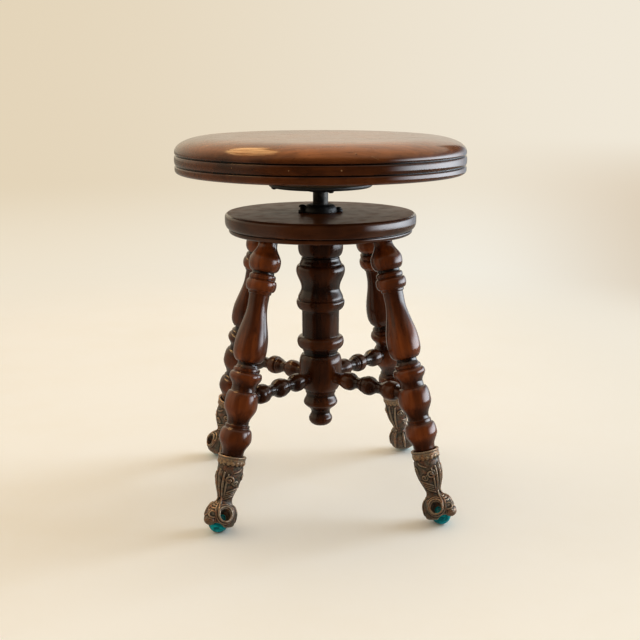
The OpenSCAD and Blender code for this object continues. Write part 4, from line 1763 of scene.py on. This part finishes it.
    def ornament(self) -> list[Shape]:
        """Scalloped rim, leaf ribs, scrolls and feathers on the sleeve.

        Returns:
            The shapes to fuse on.
        """
        made: list[Shape] = []
        under_rim = self.length - self.rim_h + 1.6
        for k in range(self.scallops):
            place = self.on_sleeve(360 * (k + 0.5) / self.scallops, under_rim, -1.0)
            made.append(globe(place, 2.8, (1, 1, 1.35), 12))
        for turn, thick in self.leaves:
            top = 63 - abs(turn) * 0.12
            made.append(self.rib((turn * 1.1, top), (turn * 0.8, 29), thick, 0, 0.5))
        made.append(globe((9.0, 0, 57), 8.1, (1, 0.76, 1.1), 18))
        for s in (-1, 1):
            for turn, height, size, hand, thick in self.scrolls:
                made += self.volute(turn * s, height, size, hand * s, thick)
            for k in range(4):
                outer, inner = (122 - 9 * k, 43.5 - 3.6 * k), (38 - 5 * k, 35.5 - 3.1 * k)
                made.append(self.rib((s * outer[0], outer[1]), (s * inner[0], inner[1]), 1.15,
                                     -7 * s, 0.3))
            made.append(self.rib((s * 62, 60), (s * 100, 66), 1.1, 8 * s, 0.1))
            made.append(self.rib((s * 150, 66), (s * 166, 28), 1.6, 0, 0.4))
        made.append(self.rib((180, 68), (180, 28), 1.8, 0, 0.5))
        return made

    def claw(self) -> list[Shape]:
        """The front toe's knuckles, the rings round the windows and the rear talons.

        Returns:
            The shapes to fuse on.
        """
        made: list[Shape] = []
        lifts = np.linspace(self.toe_high, self.toe_low, 12)
        arc = [self.by_ball(0, lift, self.toe_ring) for lift in lifts]
        made.append(tube(arc, [self.toe_r] * len(arc), 20))
        for lift, size in self.knuckles:
            made.append(globe(self.by_ball(0, lift, self.toe_ring), size, (1, 1.14, 1), 18))
        for lift, wide in self.wrinkles:
            made.append(self.draped([(-wide, lift), (0, lift - 2), (wide, lift)], 1.15, 0.0, 0.5))
        for s in (-1, 1):
            for turn, lift, wide, thick, raised in self.rings:
                made.append(self.hoop(turn * s, lift, wide, thick, raised))
            for track, thick, raised in ((self.brow, 1.75, 0.2), (self.tendon, 1.25, 0.1)):
                made.append(self.draped([(turn * s, lift) for turn, lift in track], thick, raised,
                                        0.4))
        for turn, thick, taper in self.talons:
            made.append(self.draped([(turn, lift) for lift in self.talon_lifts], thick, 0.0,
                                    taper))
        return made

    def shape(self) -> Shape:
        """The whole casting.

        Returns:
            The casting with its notes.
        """
        casting = fused([self.plain_sleeve(), self.plain_paw(), *self.ornament(), *self.claw()],
                        self.voxel * 1.05, 1)
        made = weathered(fused([carved(casting, self.cutters())], self.voxel, 1), 12, 0.27)
        low, z = self.length - self.rim_h, made.verts[:, 2]
        band = np.clip((z - low) / 1.5, 0, 1)
        made.notes["crest"] = np.maximum(made.notes["crest"], band * (0.35 - made.notes["hollow"]))
        made.notes["rim"] = np.interp(z, (low - 2.2, low - 1.2, low + 5.5, low + 6.5), (0, 1, 1, 0))
        return made

    def plain_sleeve(self) -> Shape:
        """The sleeve with its rim, before it is bored.

        Returns:
            The sleeve.
        """
        top, step = self.length, self.rim_h / 5
        points = [*map(tuple, self.sleeve_line), (self.rim_r - step, top - self.rim_h),
                  (self.rim_r - step / 2, top - self.rim_h), (self.rim_r - 0.5, top - step),
                  (self.rim_r, top - step + 0.2), (self.rim_r, top - 0.3)]
        body = softened([(0.0, points[0][1]), *points, (0.0, points[-1][1])], 0.25)
        return revolved(on_axis(body), self.sides)

    def plain_paw(self) -> Shape:
        """The paw over the ball, its underside arched between the toe and the sides.

        Returns:
            The paw.
        """
        cup = softened([(0.0, 0.0), *map(tuple, self.paw_line), (0.0, self.paw_line[-1][1])], 0.3)
        x, y, z = self.frame.ball
        paw = revolved(on_axis(cup), self.sides).at(x - self.paw_back, y, z - self.paw_drop)
        low = z - self.frame.ball_r * 0.55
        arches = []
        for turn in (-self.arch_turn, self.arch_turn):
            a = math.radians(turn)
            out = (x + 36 * math.cos(a), y + 36 * math.sin(a), low)
            arches.append(rod((x, y, low), out, self.arch_r))
        return carved(paw, arches)

    def cutters(self) -> list[Shape]:
        """What is cut from the casting: the ball's room, the leg's socket and the windows.

        Returns:
            The cutters.
        """
        top = self.length
        made = [self.drawn_ball(0.22, 48).at(*self.frame.ball),
                rod((0, 0, top - self.socket), (0, 0, top + 2), self.socket_r),
                rod((0, 0, top - self.mouth), (0, 0, top + 2), self.mouth_r, 64)]
        for turn in (-self.window_turn, self.window_turn):
            path = [self.by_ball(turn, self.window_lift, reach) for reach, _ in self.bevel]
            made.append(tube(path, [self.window_r + wider for _, wider in self.bevel], 48))
        return made

    def drawn_ball(self, room: float, rings: int) -> Shape:
        """The ball about its own middle, drawn up a little inside the casting.

        Args:
            room: Space round it.
            rings: Rows of points.

        Returns:
            The ball.
        """
        ball = globe((0, 0, 0), self.frame.ball_r + room, rings=rings)
        ball.verts[:, 2] *= np.where(ball.verts[:, 2] > 0, self.egg, 1.0)
        return ball

    def build(self, finishes: Finishes) -> None:
        """Makes the four castings and dresses the balls and the pins.

        Args:
            finishes: The finishes to dress it in.
        """
        casting, ball = self.shape(), self.drawn_ball(-0.02, 56)
        middle = Matrix.Translation(shaded(self.frame.ball, MM))
        for side in SIDES:
            place = self.frame.matrix(side)
            set_in(f"claw_casting_{side}", casting, Body.BASE, "brass", finishes.brass,
                   f"claw_foot_{side}", place=place)
            set_in(f"ball_of_glass_{side}", ball, Body.BASE, "teal_glass", finishes.glass,
                   f"glass_ball_{side}", place=place @ middle)
        keep_node("ferrule_pins", finishes.brass)


# ---------------------------------------------------------------- studio


@dataclass(frozen=True)
class Lamp:
    """One area lamp that faces the stool; directions are in degrees from +X towards +Y."""

    name: str
    turn: float
    away: float
    height: float
    size: Pair
    radiance: float
    colour: Colour
    aim: float = 0.3

    def build(self) -> None:
        """Makes the lamp, which gloss doesn't show."""
        data = bpy.data.lights.new(self.name, "AREA")
        data.shape, data.size, data.size_y = "RECTANGLE", *self.size
        data.energy = self.radiance * math.pi * self.size[0] * self.size[1]
        data.color = self.colour
        made = placed(self.name, data)
        a = math.radians(self.turn)
        made.location = (self.away * math.cos(a), self.away * math.sin(a), self.height)
        way = Vector((0, 0, self.aim)) - made.location
        made.rotation_euler = way.to_track_quat("-Z", "Y").to_euler()
        made.visible_glossy = False


@dataclass
class Studio:
    """Pale floor and room, cool daylight from the right, and the photograph's camera."""

    camera_place: Point = (-120.7, -1326.7, 526.4)
    pitch_down: float = 12.79
    heading: float = -5.2
    lens: float = 60.57
    shift: float = -0.0009
    floor_colour: Colour = (0.935, 0.955, 0.975)
    floor_shade: Colour = (0.79, 0.81, 0.82)
    far_shade: Colour = (0.76, 0.66, 0.56)
    room_colour: Colour = (1.0, 0.80, 0.55)
    floor_rings: tuple[float, ...] = (1.5, 4.0, 25.0)
    floor_sides: int = 96
    window_away: float = 2.3
    window_high: float = 1.6
    window_turns: Pair = (-50, 62)
    window_colour: Colour = (0.82, 0.91, 1.0)
    window_strength: float = 8.4
    ceiling_high: float = 2.6
    ceiling_colour: Colour = (1.0, 0.60, 0.26)
    ceiling_strength: float = 7.4
    ceiling_rim: tuple[Pair, ...] = (
        (-1.52, 1.16), (-0.96, 1.87), (-0.70, 2.27), (-0.50, 2.38), (-0.37, 2.24), (-0.37, 1.61),
        (-0.48, 0.74), (-0.87, -0.06), (-1.37, -0.35), (-1.91, -0.39), (-2.23, -0.03))
    lamps: tuple[Lamp, ...] = (
        Lamp("window_light", 12.0, 4.6, 1.9, (3.0, 3.6), 5.6, (0.76, 0.90, 1.0)),
        Lamp("room_light", -100.0, 3.2, 2.0, (3.4, 2.2), 0.8, (1.0, 0.86, 0.66)))

    def camera(self) -> None:
        """Places the camera."""
        data = bpy.data.cameras.new("camera")
        data.lens, data.sensor_width, data.sensor_fit = self.lens, 36.0, "HORIZONTAL"
        data.shift_x = self.shift
        data.clip_start, data.clip_end = 0.05, 60.0
        made = placed("camera", data)
        made.location = Vector(self.camera_place) * MM
        made.rotation_euler = (math.radians(90 - self.pitch_down), 0.0,
                               math.radians(self.heading))
        bpy.context.scene.camera = made

    def backdrop(self, g: Graph, across: Value, depth: Value | float) -> Value:
        """The pale room as the eye, a gloss or a glass sees it.

        Args:
            g: The node tree that it is built in.
            across: Sideways share of the direction, -1 to 1.
            depth: 0 near the stool, 1 far behind it.

        Returns:
            Its colour.
        """
        near = g.mix(across.between(-0.25, 0.25), (0.875, 0.785, 0.635), (0.895, 0.86, 0.765))
        far = g.mix(across.between(-0.25, 0.42), (0.775, 0.66, 0.485), (0.875, 0.81, 0.69))
        return g.mix(depth, near, far)

    @staticmethod
    def seen(g: Graph) -> tuple[Value, Value]:
        """1 for what the camera sees directly, and 1 for what gloss and glass show of it.

        Args:
            g: The node tree.

        Returns:
            Both masks.
        """
        eye = g.node("ShaderNodeLightPath", out="Is Camera Ray")
        gloss = (g.node("ShaderNodeLightPath", out="Is Glossy Ray")
                 + g.node("ShaderNodeLightPath", out="Is Transmission Ray")).clamped()
        return eye, gloss

    def floor(self) -> None:
        """Makes the wide floor, which runs into the backdrop's colour away from the stool."""
        count = self.floor_sides
        turn = np.linspace(0, 2 * math.pi, count, endpoint=False)
        verts = [(0.0, 0.0, 0.0)]
        verts += [(r * math.cos(a), r * math.sin(a), 0.0) for r in self.floor_rings for a in turn]
        faces = [(0, 1 + k, 1 + (k + 1) % count) for k in range(count)]
        for inner in range(1, 1 + (len(self.floor_rings) - 1) * count, count):
            outer = inner + count
            faces += [(inner + k, outer + k, outer + (k + 1) % count, inner + (k + 1) % count)
                      for k in range(count)]
        mesh = bpy.data.meshes.new("floor")
        mesh.from_pydata(verts, [], faces)
        mesh.materials.append(self.floor_finish())
        placed("floor", mesh)

    def floor_finish(self) -> bpy.types.Material:
        """Builds the floor's material: lit near the stool, the backdrop's colour away from it.

        Returns:
            The material.
        """
        material = bpy.data.materials.new("pale_floor")
        g = Graph(material)
        place = g.object_place()
        x, y = g.axes(place, "XY")
        reach = g.distance(place)
        off_centre = g.distance(place, (0.0, 0.35, 0.0))
        scuff = g.noise(place, 5.0, 5.0, 0.65)
        colour = g.mix(scuff.between(0.35, 0.75) * 0.5, self.floor_colour,
                       shaded(self.floor_colour, 0.975, 0.955, 0.915))
        # Painted shade: the floor darkens towards the right, against the window lamp's brightness
        # there.
        colour = g.mix(x.between(0.12, 0.75), colour, self.floor_shade)
        lit = g.node("ShaderNodeBsdfPrincipled", None, {
            "Base Color": colour, "Roughness": 0.75, "Specular IOR Level": 0.1})
        eye, gloss = self.seen(g)
        away = off_centre.between(0.65, 1.4)
        across = x / (reach + 1.33)
        # Painted shade: a soft dark patch on the far floor off to the right.
        shade = across.between(0.17, 0.43) * reach.between(0.3, 1.7) * reach.between(9.0, 1.8)
        shown = g.node("ShaderNodeVectorMath", {"operation": "MULTIPLY"}, {
            0: self.backdrop(g, across, reach.between(0.9, 4.5)),
            1: g.mix(shade, (1.0, 1.0, 1.0), self.far_shade)})
        behind = (y / (reach + 0.02)).between(-0.8, -0.3)
        pale = g.node("ShaderNodeEmission", None, {
            "Color": shown, "Strength": (eye + gloss * (0.04 + behind * 0.34)).clamped()})
        g.surface(g.node("ShaderNodeMixShader", None, {
            0: (eye * away + gloss).clamped(), 1: lit, 2: pale}))
        return material

    def light(self) -> None:
        """Sets the world and the lamps."""
        world = bpy.data.worlds.new("room")
        bpy.context.scene.world = world
        g = Graph(world)
        side, back, up = g.axes(g.node("ShaderNodeTexCoord", out="Generated"), "XYZ")
        glow = (0.10 + back.between(-0.4, 0.5) * 0.82 + up.between(0.2, 0.9) * 0.34
                + side.between(-0.2, -0.9) * 0.48)
        eye, gloss = self.seen(g)
        lit = g.node("ShaderNodeBackground", None, {"Color": self.room_colour, "Strength": glow})
        wall = 0.42 + up.between(0.0, 0.35) * 0.3 + back.between(0.1, 0.7) * 0.3
        pale = g.node("ShaderNodeBackground", None, {
            "Color": self.backdrop(g, side, 1.0),
            "Strength": (eye + gloss * (0.04 + back.between(-0.8, -0.35) * wall)).clamped()})
        both = g.node("ShaderNodeMixShader", None, {0: (eye + gloss).clamped(), 1: lit, 2: pale})
        g.node("ShaderNodeOutputWorld", None, {"Surface": both}, out=None)
        self.window()
        self.ceiling_glow()
        for lamp in self.lamps:
            lamp.build()

    @staticmethod
    def card(name: str, verts: Sequence[Point], faces: Sequence[tuple[int, ...]], tint: Colour,
             strength: Callable[[Graph], Value]) -> None:
        """Hangs up a bright card that only gloss and glass show.

        Args:
            name: Its name.
            verts: Its corners, in metres.
            faces: Its faces.
            tint: Its colour.
            strength: Makes its strength in its node tree.
        """
        mesh = bpy.data.meshes.new(name)
        mesh.from_pydata(verts, [], faces)
        made = placed(name, mesh)
        made.visible_camera = made.visible_diffuse = made.visible_shadow = False
        material = bpy.data.materials.new(name)
        g = Graph(material)
        g.surface(g.node("ShaderNodeEmission", None, {"Color": tint, "Strength": strength(g)}))
        mesh.materials.append(material)

    def window(self) -> None:
        """Makes the window on the right, as gloss shows it: brightest low and to the side."""
        away, steps = self.window_away, 40
        turns = np.radians(np.linspace(*self.window_turns, steps + 1))
        verts = [(away * math.cos(a), away * math.sin(a), z)
                 for a in turns for z in (0.0, self.window_high)]
        faces = [(2 * i, 2 * i + 2, 2 * i + 3, 2 * i + 1) for i in range(steps)]

        def strength(g: Graph) -> Value:
            """How bright each place of the window is.

            Args:
                g: The card's node tree.

            Returns:
                The strength.
            """
            y, z = g.axes(g.object_place(), "YZ")
            along = y / away
            sideways = along.between(-0.74, -0.30) * (1.0 - along.between(-0.05, 0.82) * 0.93)
            return sideways * (0.08 + z.between(1.1, 0.5) * 0.92) * self.window_strength

        self.card("window_card", verts, faces, self.window_colour, strength)

    def ceiling_glow(self) -> None:
        """Makes the warm patch of lamplight on the ceiling behind, as gloss shows it."""
        verts = [(x, y, self.ceiling_high) for x, y in self.ceiling_rim]

        def strength(g: Graph) -> Value:
            """How bright each place of the patch is.

            Args:
                g: The card's node tree.

            Returns:
                The strength.
            """
            patch = g.noise(g.object_place(), 2.4, 4.0, 0.65, 0.6)
            return patch.between(0.36, 0.56) * self.ceiling_strength

        self.card("ceiling_card", verts, [tuple(range(len(verts)))], self.ceiling_colour, strength)

    def build(self) -> None:
        """Sets up everything that isn't part of the stool."""
        self.camera()
        self.floor()
        self.light()
        bpy.context.scene.view_settings.view_transform = "Standard"


def main() -> None:
    """Builds the studio and the stool."""
    Studio().build()
    finishes = Finishes.make()
    legs = LegFrame()
    for part in (Seat(), SeatFixing(), LiftScrew(), Nut(), Platform(), Column(), Legs(legs),
                 Stretchers(legs), ClawFeet(legs)):
        part.build(finishes)
        log.info("%s: built", type(part).__name__)
    bpy.context.view_layer.update()


if __name__ == "__main__":
    main()
